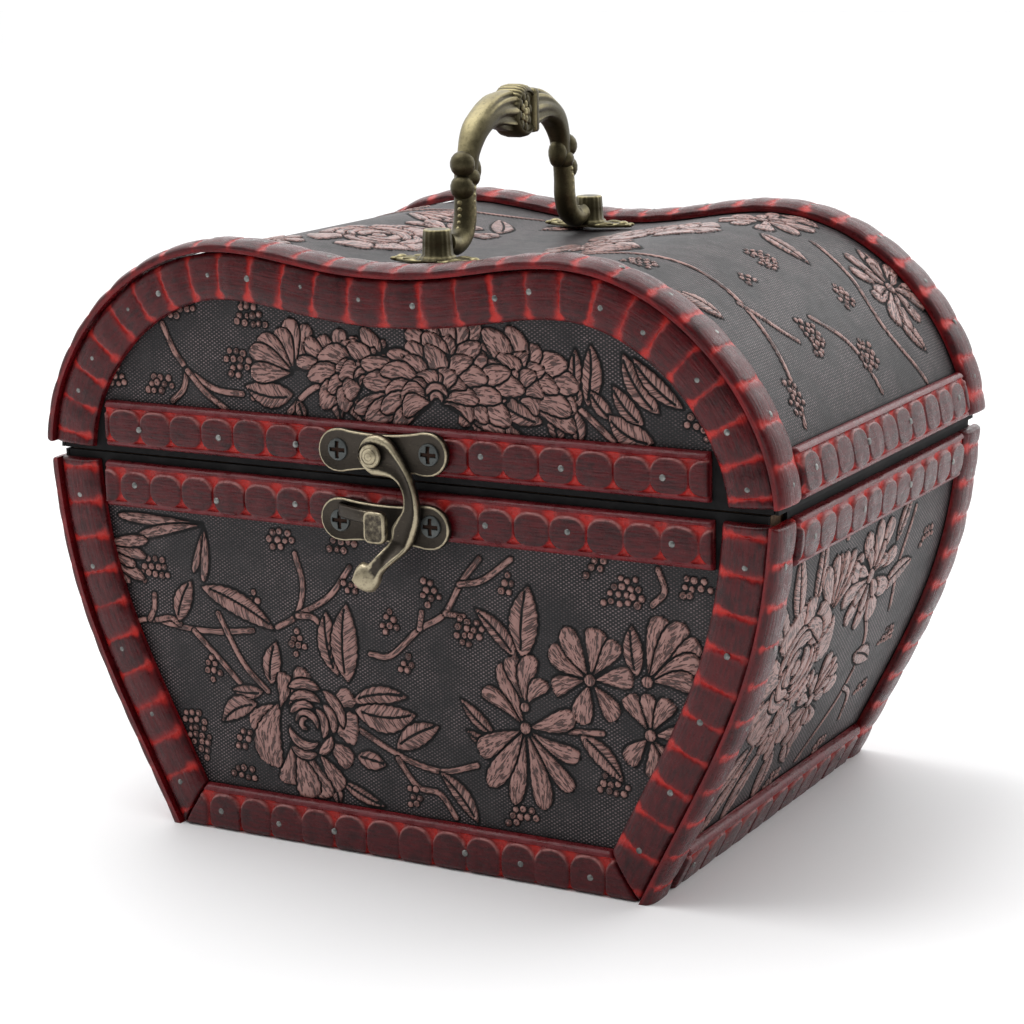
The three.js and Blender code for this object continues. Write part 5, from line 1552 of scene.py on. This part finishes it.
# The bail from its pivot's height: the leg from post to knuckle, and the shoulder from there to the top.
BAIL_LEG = ((29.8, 0.1), (26.4, -0.5), (23.4, 1.2), (22.0, 4.6), (21.8, 8.4), (21.2, 12.0))
BAIL_SHOULDER = ((20.4, 14.2), (19.8, 18.0), (17.2, 22.0), (13.2, 24.4), (9.0, 25.3), (3.9, 25.2))
# Its knuckles: place, radius, and how tall they are for their width.
BAIL_KNUCKLES = (
    (22.9, 10.8, 2.2, 1.25), (22.6, 15.6, 2.3, 1.2), (18.9, 14.2, 1.8, 1.7), (20.8, 12.8, 2.4, 1.0)
)
PIVOT_LIFT = 3.3  # of the bail's pivot above the lid
PIVOT_Y = 27.2
POST_R = 3.2


def shoulder_section(share, angle):
    """From the knuckle at the start, over the shoulder, to the medallion. Flutes flare on its sides."""
    c, s = np.cos(angle), np.sin(angle)
    swell = smoothstep(0.0, 0.5, share)
    flare = float(smoothstep(0.45, 1.0, share))
    fluted = flare * np.cos(11 * angle) * smoothstep(0.25, 0.6, np.abs(c))
    depth, height = 2.1 + 0.9 * swell, 1.9 + 0.6 * swell + 1.8 * flare
    worn = 0.25 + 0.5 * np.clip(s, 0, 1) + 0.55 * fluted
    return (depth + 0.42 * fluted) * power(c, 0.8), (height + 0.42 * fluted) * power(s, 0.85), worn


def leg_section(share, angle):
    c, s = np.cos(angle), np.sin(angle)
    thick = 2.15 + 0.25 * math.sin(math.pi * share)
    groove = 0.45 * (np.abs(c) < 0.35) * (s < 0)
    return thick * c, (thick - groove) * s, 0.25 + 0.35 * np.clip(c, 0, 1)


def bail_half(side, pivot_z):
    """One leg of the bail with its shoulder, knuckles, pearls and the pin that turns in the post."""
    def oriented(share, angle):
        ring_x, ring_n, worn = shoulder_section(share, angle)
        return ring_x, -side * ring_n, worn

    shoulder, leg = ([(side * y, pivot_z + z) for y, z in path] for path in (BAIL_SHOULDER, BAIL_LEG))
    parts = [swept(shoulder, oriented), swept(leg, leg_section)]
    for y, z in smooth_line(leg[2:], 9)[1:8]:  # pearls in the leg's channel and on its sides
        parts.append(ball((0, y + side * 1.9, z - 0.1), 0.72, wear=0.9, rings=6, sides=10))
        for x in (1.75, -1.75):
            parts.append(ball((x, y, z), 0.7, wear=0.95, rings=6, sides=10))
    for y, z, radius, tall in BAIL_KNUCKLES:
        parts.append(ball((0, side * y, pivot_z + z), radius, (1.2, 1.0, tall), 0.45))
    pin = [(1.7, 0, 0.3), (1.9, 0.6, 0.6), (1.5, 1.4, 0.3), (1.5, 3.4, 0.3), (1.0, 3.6, 0.2), (0.9, 5.6, 0.2)]
    parts.append(turned(pin, (0, side * PIVOT_Y, pivot_z), (0, side, 0), 24))
    return parts


def build_handle():
    bronze = metal("olive_bronze")
    post_low, post_high = low("handle_front_mount"), high("handle_front_mount")
    bail_low, bail_high = low("handle_bail"), high("handle_bail")
    plate_z = post_low[2]
    tall = post_high[2] - plate_z
    post_y = (post_low[1] + post_high[1]) / 2
    parts = [part for side in (-1, 1) for part in bail_half(side, plate_z + PIVOT_LIFT)]
    parts += medallion(bail_high[2], bail_high[0] - bail_low[0])
    fitting("handle_cast_bail", parts, bronze, "handle", ["handle_bail"], sharp_angle=50)

    profile = [
        (POST_R + 0.9, 0.6, 0.3), (POST_R + 0.5, 1.3, 0.6), (POST_R + 0.05, 1.7, 0.3),
        (POST_R - 0.1, 4.0, 0.15), (POST_R - 0.25, tall - 0.35, 0.5), (POST_R - 0.5, tall - 0.05, 1.0),
        (POST_R - 1.1, tall, 0.6), (0.3, tall - 0.1, 0.4),
    ]
    for name, side in (("front", -1), ("back", 1)):
        y = side * abs(post_y)
        post = turned(profile, (0, y, plate_z), (0, 0, 1), 96, 16, 0.055)
        leaf = scroll_plate(y, plate_z, post_high[0], 0.5 * (post_high[1] - post_low[1]))
        fitting(f"handle_{name}_post", [post, *leaf], bronze, "lid", [f"handle_{name}_mount"], sharp_angle=45)


def medallion(top_z, depth):
    """The oval boss at the top of the handle: a milled edge, a raised flower on each side and a plain bar."""
    half_y, half_z, half_x = 5.0, 5.55, 0.5 * depth
    centre_z = top_z - half_z - 0.15
    count = 192
    angle = np.linspace(0, math.tau, count, endpoint=False)
    ridges = 0.5 + 0.5 * np.cos(32 * angle)
    milled = smoothstep(-0.3, 0.15, np.sin(angle))
    # One half from its face to its middle: place in X, reach, and how much of the milling it takes.
    profile = [(0.80, 0.6, 0), (0.82, 0.74, 0), (0.95, 0.78, 0.2), (0.93, 0.86, 0.5), (0.78, 0.94, 1),
               (0.4, 1.0, 1)]
    levels = [(-x, reach, amount) for x, reach, amount in profile] + profile[::-1]
    sections, wear = [], []
    for x, reach, amount in levels:
        out = reach + 0.035 * amount * ridges * milled
        y, z = half_y * out * np.cos(angle), centre_z + half_z * out * np.sin(angle)
        sections.append(np.stack([np.full(count, half_x * x), y, z], 1))
        wear.append(0.1 + amount * (0.25 + 0.6 * ridges * milled))
    points, faces = loft(sections)
    parts = [(points, faces, np.concatenate(wear))]
    ring = np.linspace(0, math.tau, 40, endpoint=False)
    c, s = np.cos(ring), np.sin(ring)
    bar = []
    for lift, share in ((-4.7, 0.7), (-4.5, 0.92), (-4.0, 1.0), (3.9, 1.0), (4.5, 0.92), (4.7, 0.7)):
        x = (half_x + 0.3) * share * power(c, 0.4)
        y = 3.4 + 0.95 * share * power(s, 0.4)
        bar.append(np.stack([x, y, np.full(len(ring), centre_z + lift)], 1))
    points, faces = loft(bar)
    parts.append((points, faces, np.tile(np.where(np.abs(c * s) > 0.2, 0.8, 0.35), len(bar))))
    for side in (-1, 1):
        x = side * half_x * 0.84
        for reach, petals, radius, worn in ((2.5, 8, 0.85, 0.4), (1.3, 5, 0.75, 0.65), (0.0, 1, 0.75, 0.9)):
            for i in range(petals):
                place = polar((-1.1, centre_z), math.tau * i / petals + reach, 0.85 * reach, 1.25 * reach)
                place = (x + side * 0.12 * (2.5 - reach), *place)
                parts.append(ball(place, radius, (0.6, 1, 1.2), worn, 7, 14))
    return parts


def scroll_plate(y, plate_z, half_length, half_width):
    """A leaf-shaped base with scrolled lobes along X, ribs and two small screws."""
    count = 96
    a = np.linspace(0, math.tau, count, endpoint=False)
    lobes = 1 + 0.11 * np.cos(6 * a) + 0.05 * np.cos(10 * a)
    x = half_length * np.cos(a) * (0.96 + 0.05 * np.cos(4 * a))
    yy = half_width * np.sin(a) * lobes
    sections, wear = [], []
    for inset, z, worn in (
        (1.0, 0.0, 0.2), (1.0, 0.45, 0.5), (0.96, 0.75, 0.9), (0.86, 0.85, 0.5), (0.7, 0.7, 0.1),
        (0.45, 0.95, 0.4),
    ):
        ripple = 0.12 * np.cos(12 * a) * (z > 0.5)
        sections.append(np.stack([x * inset, y + yy * inset, plate_z + z + ripple], 1))
        wear.append(np.clip(worn + 2.5 * ripple, 0, 1))
    points, faces = loft(sections)
    parts = [(points, faces, np.concatenate(wear))]
    for side in (-1, 1):
        parts.append(ball((side * 0.82 * half_length, y, plate_z + 0.75), 1.15, (1, 1, 0.55), 0.8, 7, 16))
        for offset in (-1, 1):
            lobe = (side * 0.5 * half_length, y + offset * 0.55 * half_width, plate_z + 0.75)
            curl = (side * 0.95 * half_length, y + offset, plate_z + 0.5)
            parts.append(ball(lobe, 1.0, (1.9, 0.8, 0.5), 0.6, 7, 14))
            parts.append(ball(curl, 0.7, (1.2, 0.8, 0.6), 0.7, 6, 12))
    return parts


HINGE_LEAF_T = 1.0


def hinge_leaf(x0, x1, face, z_low, z_high):
    """A hinge's flat leaf, with clipped corners at its far edge."""
    corners = ((x0 + 0.8, z_low), (x1 - 0.8, z_low), (x1, z_low + 0.8), (x1, z_high - 0.3),
               (x1 - 0.3, z_high), (x0 + 0.3, z_high), (x0, z_high - 0.3), (x0, z_low + 0.8))
    points, faces, wear = bevelled_plate(corners, 0, HINGE_LEAF_T, 0.22)
    return points * (1, -1, 1) + (0, face, 0), faces, wear


def build_hinges():
    brass, steel = metal("aged_brass"), metal("dark_steel")
    screw_inset = 3.6
    for side in ("left", "right"):
        leaf_low, leaf_high = low(f"hinge_{side}_body_leaf"), high(f"hinge_{side}_body_leaf")
        top = high(f"hinge_{side}_lid_leaf")[2]
        (x0, face), x1 = leaf_low[:2], leaf_high[0]
        radius = 0.5 * (leaf_high[1] - face)
        axis_y = leaf_high[1] - radius
        third = (x1 - x0) / 3
        play = 0.25
        inner = (x0 + third + play, x1 - third - play)

        def along_axis(profile, start, sides):
            return turned(profile, (start, axis_y, SEAM_Z), (1, 0, 0), sides)

        def knuckle(start, stop):
            wide = stop - start
            ring = [(radius - 0.25, 0, 0.8), (radius, 0.2, 0.9), (radius, 0.5, 0.4),
                    (radius, wide - 0.5, 0.4), (radius, wide - 0.2, 0.9), (radius - 0.25, wide, 0.8)]
            return along_axis(ring, start, 28)

        pin = [(0.4, -0.35, 0.9), (0.8, -0.3, 1), (0.85, 0, 0.8), (0.85, x1 - x0, 0.8),
               (0.8, x1 - x0 + 0.3, 1), (0.4, x1 - x0 + 0.35, 0.9)]
        lower = [hinge_leaf(x0, x1, face, leaf_low[2], SEAM_Z - 0.9), knuckle(x0, x0 + third),
                 knuckle(x1 - third, x1), along_axis(pin, x0, 20)]
        upper = [hinge_leaf(x0, x1, face, SEAM_Z + radius + 0.35, top), knuckle(*inner),
                 tab_part(*inner, face, SEAM_Z, radius)]
        fitting(f"hinge_{side}_lower", lower, brass, "chest", [f"hinge_{side}_body_leaf"])
        fitting(f"hinge_{side}_upper", upper, brass, "lid", [f"hinge_{side}_lid_leaf"])
        for level, body, z in (
            ("lower", "chest", leaf_low[2] + screw_inset), ("upper", "lid", top - screw_inset)
        ):
            heads = [cross_screw((x, face + HINGE_LEAF_T, z), (0, 1, 0), 1.75, 0.6)
                     for x in (x0 + 4.2, x1 - 4.2, (x0 + x1) / 2)]
            fitting(f"hinge_{side}_{level}_screws", heads, steel, body)


def tab_part(x0, x1, face, axis_z, radius):
    """The stretch of the lid's leaf that wraps the middle knuckle."""
    y0, y1 = face, face + HINGE_LEAF_T
    z0, z1 = axis_z, axis_z + radius + 0.6
    corners = [(x, y, z) for z in (z0, z1) for x, y in ((x0, y0), (x1, y0), (x1, y1), (x0, y1))]
    faces = [[0, 1, 2, 3], [4, 5, 6, 7], [0, 1, 5, 4], [1, 2, 6, 5], [2, 3, 7, 6], [3, 0, 4, 7]]
    return np.array(corners), faces, 0.5


def ring_part(centre, radius, tube, flat, sides=48, around=14):
    """A flattened ring in X and Y."""
    small = np.linspace(0, math.tau, around, endpoint=False)
    out = radius + tube * np.cos(small)
    sections = np.stack([
        np.stack([centre[0] + out * math.cos(a), centre[1] + out * math.sin(a),
                  centre[2] + flat * np.sin(small)], 1)
        for a in np.linspace(0, math.tau, sides, endpoint=False)
    ])
    faces = grid_faces(sides, around, closed=True)
    last = (sides - 1) * around
    faces += [[last + c, last + (c + 1) % around, (c + 1) % around, c] for c in range(around)]
    return sections.reshape(-1, 3), faces, 0.6


def build_key():
    key_low, key_high = low("winding_key"), high("winding_key")
    middle_x, middle_z = (key_low[0] + key_high[0]) / 2, (key_low[2] + key_high[2]) / 2
    shank = [(2.3, 0, 0.4), (3.1, 0.35, 0.8), (3.2, 0.8, 0.5), (3.2, 2.4, 0.3), (2.7, 2.9, 0.5),
             (2.7, 4.2, 0.3), (3.1, 4.7, 0.7), (2.9, 6.4, 0.5), (1.6, 7.4, 0.5)]
    parts = [turned(shank, (middle_x, key_low[1], middle_z), (0, 1, 0), 32)]
    lobe, tube = 5.0, 1.5
    for side in (-1, 1):
        centre = (middle_x + side * (key_high[0] - middle_x - lobe - 0.6), key_high[1] - lobe - 0.7, middle_z)
        parts.append(ring_part(centre, lobe - 0.9, tube, 1.0))
    parts.append(ball((middle_x, key_low[1] + 8.2, middle_z), 1.0, (2.6, 2.4, 1.2), 0.6))
    fitting("key_butterfly", parts, metal("turned_brass"), "key", ["winding_key"])


def build_movement():
    """Finishes for the movement, and the pins on its cylinder."""
    brass, steel, zinc = (metal(name) for name in BRUSHED_METALS)
    paint_nodes(("spring_barrel", "music_cylinder", "governor_gear"), brass)
    paint_nodes(("comb", "governor_fan", "winding_arbor"), steel)
    paint_nodes(("movement_frame",), zinc)
    paint_nodes(("compartment_wall", "movement_cover"), velvet_finish())
    cylinder_low, cylinder_high = low("music_cylinder"), high("music_cylinder")
    middle_x = (cylinder_low[0] + cylinder_high[0]) / 2
    middle_z = (cylinder_low[2] + cylinder_high[2]) / 2
    comb_low, comb_high = low("comb"), high("comb")
    radius, pins = 7.0, 190
    rng = np.random.default_rng(5)
    parts = []
    for _ in range(pins):
        angle = rng.uniform(0, math.tau)
        y = rng.uniform(comb_low[1] + 0.5, comb_high[1] - 0.5)
        direction = (math.cos(angle), 0, math.sin(angle))
        start = (middle_x + (radius - 0.2) * direction[0], y, middle_z + (radius - 0.2) * direction[2])
        parts.append(turned([(0.17, 0, 0.5), (0.17, 0.65, 0.5), (0.1, 0.75, 0.5)], start, direction, 6))
    fitting("cylinder_pins", parts, steel, "cylinder")


def paint_nodes(nodes, material):
    for node in nodes:
        mesh_data = frame["nodes"][node].data
        mesh_data.materials.clear()
        mesh_data.materials.append(material)


def paint_boards():
    panels = [node for node in frame["nodes"] if node.endswith("_panel")]
    paint_nodes(panels, board_finish())


# ---------- settings ----------

def tint(name, description, value):
    return bpy.props.FloatVectorProperty(
        name=name, description=description, default=value, size=3, subtype="COLOR", min=0, max=1
    )


def number(name, description, value, **limits):
    return bpy.props.FloatProperty(name=name, description=description, default=value, **limits)


class MusicBoxCovering(bpy.types.PropertyGroup):
    """Sizes and colours of the leatherette"""

    pitch: number("Relief Pitch", "Spacing of the embossed face's points, in millimetres", 0.34, min=0.2)
    weave_x: number("Weave Across", "Repeat of the cloth grain across, in millimetres", 1.2, min=0.2)
    weave_y: number("Weave Up", "Repeat of the cloth grain upwards, in millimetres", 0.78, min=0.2)
    ground: tint("Ground", "Charcoal of the sheet", (0.0046, 0.0040, 0.0052))
    fleck: tint("Fleck", "Lighter points of the grain", (0.23, 0.17, 0.175))
    copper_dark: tint("Copper Shade", "Copper paint where it is thin", (0.19, 0.09, 0.078))
    copper_light: tint("Copper", "Copper paint where it is thick", (0.47, 0.26, 0.225))


class MusicBoxStrips(bpy.types.PropertyGroup):
    """Sizes and colours of the carved strips"""

    pitch: number("Pillow Pitch", "Length of one carved pillow, in millimetres", 8.0, min=2)
    detail: number("Carving Detail", "Spacing of points along a strip, in millimetres", 0.26, min=0.1)
    red: tint("Red", "Lacquer", (0.22, 0.007, 0.010))
    red_dark: tint("Deep Red", "Lacquer where it is thick", (0.08, 0.0042, 0.0065))
    cusp_red: tint("Cusp Red", "Bright lacquer between the pillows", (0.47, 0.02, 0.014))
    burnished: tint("Burnished", "Dark faces of the pillows", (0.027, 0.0046, 0.0060))
    # Colour of the painted sheen on the rails.
    rail_sheen: tint("Rail Sheen", "Painted greyish sheen on the rails", (0.15, 0.024, 0.030))
    # Colour of the painted highlight on the pillows' lit rims.
    rim_light: tint("Rim", "Painted highlight on the upper rims of the pillows", (0.38, 0.15, 0.14))


class MusicBoxStage(bpy.types.PropertyGroup):
    """Light and floor"""

    floor: tint("Floor", "Pale floor", (0.92, 0.92, 0.925))
    surround: number("Surround", "Brightness of the surround behind the box", 1.5, min=0)
    dim: number("Dim Side", "Brightness of the surround before the box", 0.2, min=0)
    key_power: number("Key Light", "Power of the large soft light", 8.0, min=0, unit="POWER")
    lens: number("Lens", "Focal length of the camera, in millimetres", 94.44, min=1, unit="CAMERA")


# ---------- operators ----------

class MUSICBOX_OT_boards(bpy.types.Operator):
    """Finishes the wooden boards and their red lining"""

    bl_idname = "musicbox.boards"
    bl_label = "Boards"

    def execute(self, context):
        paint_boards()
        return {"FINISHED"}


class MUSICBOX_OT_covering(bpy.types.Operator):
    """Builds the embossed leatherette on body and lid"""

    bl_idname = "musicbox.covering"
    bl_label = "Leatherette"

    def execute(self, context):
        settings = context.scene.music_box_covering
        material = leatherette_finish(settings)
        body_face_coverings(material, settings.pitch)
        body_side_coverings(material, settings.pitch * 1.1)
        lid_face_coverings(material, settings.pitch * 0.9)
        lid_top_covering(material, settings.pitch * 1.35)
        return {"FINISHED"}


class MUSICBOX_OT_strips(bpy.types.Operator):
    """Carves the red strips along every edge"""

    bl_idname = "musicbox.strips"
    bl_label = "Carved Strips"

    def execute(self, context):
        settings = context.scene.music_box_strips
        carved_strips(settings, carved_wood_finish(settings))
        return {"FINISHED"}


class MUSICBOX_OT_pins(bpy.types.Operator):
    """Drives the pins that hold the strips"""

    bl_idname = "musicbox.pins"
    bl_label = "Strip Pins"

    def execute(self, context):
        strip_pins(metal("dark_steel"))
        return {"FINISHED"}


class MUSICBOX_OT_latch(bpy.types.Operator):
    """Builds the swing latch, its keeper and their screws"""

    bl_idname = "musicbox.latch"
    bl_label = "Swing Latch"

    def execute(self, context):
        build_latch()
        return {"FINISHED"}


class MUSICBOX_OT_handle(bpy.types.Operator):
    """Builds the cast handle and its two posts"""

    bl_idname = "musicbox.handle"
    bl_label = "Handle"

    def execute(self, context):
        build_handle()
        return {"FINISHED"}


class MUSICBOX_OT_hinges(bpy.types.Operator):
    """Builds the two hinges at the back"""

    bl_idname = "musicbox.hinges"
    bl_label = "Hinges"

    def execute(self, context):
        build_hinges()
        return {"FINISHED"}


class MUSICBOX_OT_key(bpy.types.Operator):
    """Builds the winding key"""

    bl_idname = "musicbox.key"
    bl_label = "Winding Key"

    def execute(self, context):
        build_key()
        return {"FINISHED"}


class MUSICBOX_OT_movement(bpy.types.Operator):
    """Finishes the musical movement and sets the pins in its cylinder"""

    bl_idname = "musicbox.movement"
    bl_label = "Movement"

    def execute(self, context):
        build_movement()
        return {"FINISHED"}


class MUSICBOX_OT_stage(bpy.types.Operator):
    """Lays the floor and sets the lights and the camera"""

    bl_idname = "musicbox.stage"
    bl_label = "Stage"

    def execute(self, context):
        build_stage(context.scene, context.scene.music_box_stage)
        return {"FINISHED"}


# ---------- stage ----------

CAMERA_PLACE = (0.28027, -0.50280, 0.19268)
CAMERA_RIGHT = (0.87354, 0.48630, -0.02097)
CAMERA_UP = (-0.08924, 0.20234, 0.97524)


def area_light(name, place, target, size, power):
    data = bpy.data.lights.new(name, "AREA")
    data.shape = "RECTANGLE"
    data.size, data.size_y = size
    data.energy = power
    lamp = bpy.data.objects.new(name, data)
    lamp.location = place
    lamp.rotation_euler = (Vector(target) - Vector(place)).to_track_quat("-Z", "Y").to_euler()
    bpy.context.scene.collection.objects.link(lamp)


def floor_finish(settings):
    material, tree, shader = new_material("pale_floor")
    mottle = noise(tree, object_place(tree, 0.02), 1.0, 2)
    tone = blend(tree, mottle, settings.floor, darker(settings.floor, 0.985))
    tree.links.new(tone, shader.inputs["Base Color"])
    shader.inputs["Roughness"].default_value = 0.55
    shader.inputs["Specular IOR Level"].default_value = 0.25
    return material


def surround(settings):
    """A pale surround that is bright behind and above the box, and dim on the side it is seen from."""
    world = bpy.data.worlds.new("surround")
    world.use_nodes = True
    tree = world.node_tree
    way = put(tree, "TexCoord").outputs["Generated"]
    inputs = {0: way, 1: (-0.48, 0.86, 0.16)}
    behind = put(tree, "VectorMath", inputs, operation="DOT_PRODUCT").outputs["Value"]
    light = ramp(tree, behind, -0.75, 0.55, settings.dim, settings.surround)
    background = tree.nodes["Background"]
    background.inputs["Color"].default_value = (1, 1, 1, 1)
    tree.links.new(light, background.inputs["Strength"])
    return world


def build_stage(scene, settings):
    reach = 4000
    steps = 24
    line = np.linspace(-reach, reach, steps + 1)
    x, y = np.meshgrid(line, line, indexing="ij")
    points = np.stack([x, y, np.full(x.shape, -0.02)], -1).reshape(-1, 3)
    faces = grid_faces(steps + 1, steps + 1)
    floor = mesh_piece("floor", points, faces, floor_finish(settings), smooth=False)
    for polygon in floor.data.polygons:
        if polygon.normal.z < 0:
            polygon.flip()

    scene.world = surround(settings)
    middle = (0, 0, 0.07)
    area_light("top_light", (-0.45, -0.1, 1.15), middle, (1.1, 0.9), settings.key_power)
    area_light("rear_light", (0.5, 0.9, 0.75), middle, (1.2, 0.7), 0.45 * settings.key_power)

    camera_data = bpy.data.cameras.new("camera")
    camera_data.lens = settings.lens
    camera_data.sensor_width = 36
    camera = bpy.data.objects.new("camera", camera_data)
    right, up = Vector(CAMERA_RIGHT).normalized(), Vector(CAMERA_UP).normalized()
    back = right.cross(up).normalized()
    up = back.cross(right)
    camera.matrix_world = Matrix.Translation(CAMERA_PLACE) @ Matrix((right, up, back)).transposed().to_4x4()
    scene.collection.objects.link(camera)
    scene.camera = camera
    scene.view_settings.view_transform = "Standard"


# ---------- panel and registration ----------

BUILD_STEPS = (
    MUSICBOX_OT_boards, MUSICBOX_OT_covering, MUSICBOX_OT_strips, MUSICBOX_OT_pins, MUSICBOX_OT_latch,
    MUSICBOX_OT_handle, MUSICBOX_OT_hinges, MUSICBOX_OT_key, MUSICBOX_OT_movement, MUSICBOX_OT_stage,
)
SETTINGS = {
    "music_box_covering": MusicBoxCovering,
    "music_box_strips": MusicBoxStrips,
    "music_box_stage": MusicBoxStage,
}


class MUSICBOX_PT_sidebar(bpy.types.Panel):
    """Lists the steps that build the music box"""

    bl_label = "Music Box"
    bl_idname = "MUSICBOX_PT_sidebar"
    bl_space_type = "VIEW_3D"
    bl_region_type = "UI"
    bl_category = "Music Box"

    def draw(self, context):
        for step in BUILD_STEPS:
            self.layout.operator(step.bl_idname)
        for key, group in SETTINGS.items():
            box = self.layout.box()
            for name in group.__annotations__:
                box.prop(getattr(context.scene, key), name)


def register():
    for group in SETTINGS.values():
        bpy.utils.register_class(group)
    for key, group in SETTINGS.items():
        setattr(bpy.types.Scene, key, bpy.props.PointerProperty(type=group))
    for step in (*BUILD_STEPS, MUSICBOX_PT_sidebar):
        bpy.utils.register_class(step)


def unregister():
    for step in (MUSICBOX_PT_sidebar, *reversed(BUILD_STEPS)):
        bpy.utils.unregister_class(step)
    for key in SETTINGS:
        delattr(bpy.types.Scene, key)
    for group in SETTINGS.values():
        bpy.utils.unregister_class(group)


def main():
    register()
    for step in BUILD_STEPS:
        family, name = step.bl_idname.split(".")
        getattr(getattr(bpy.ops, family), name)()


if __name__ == "__main__":
    main()
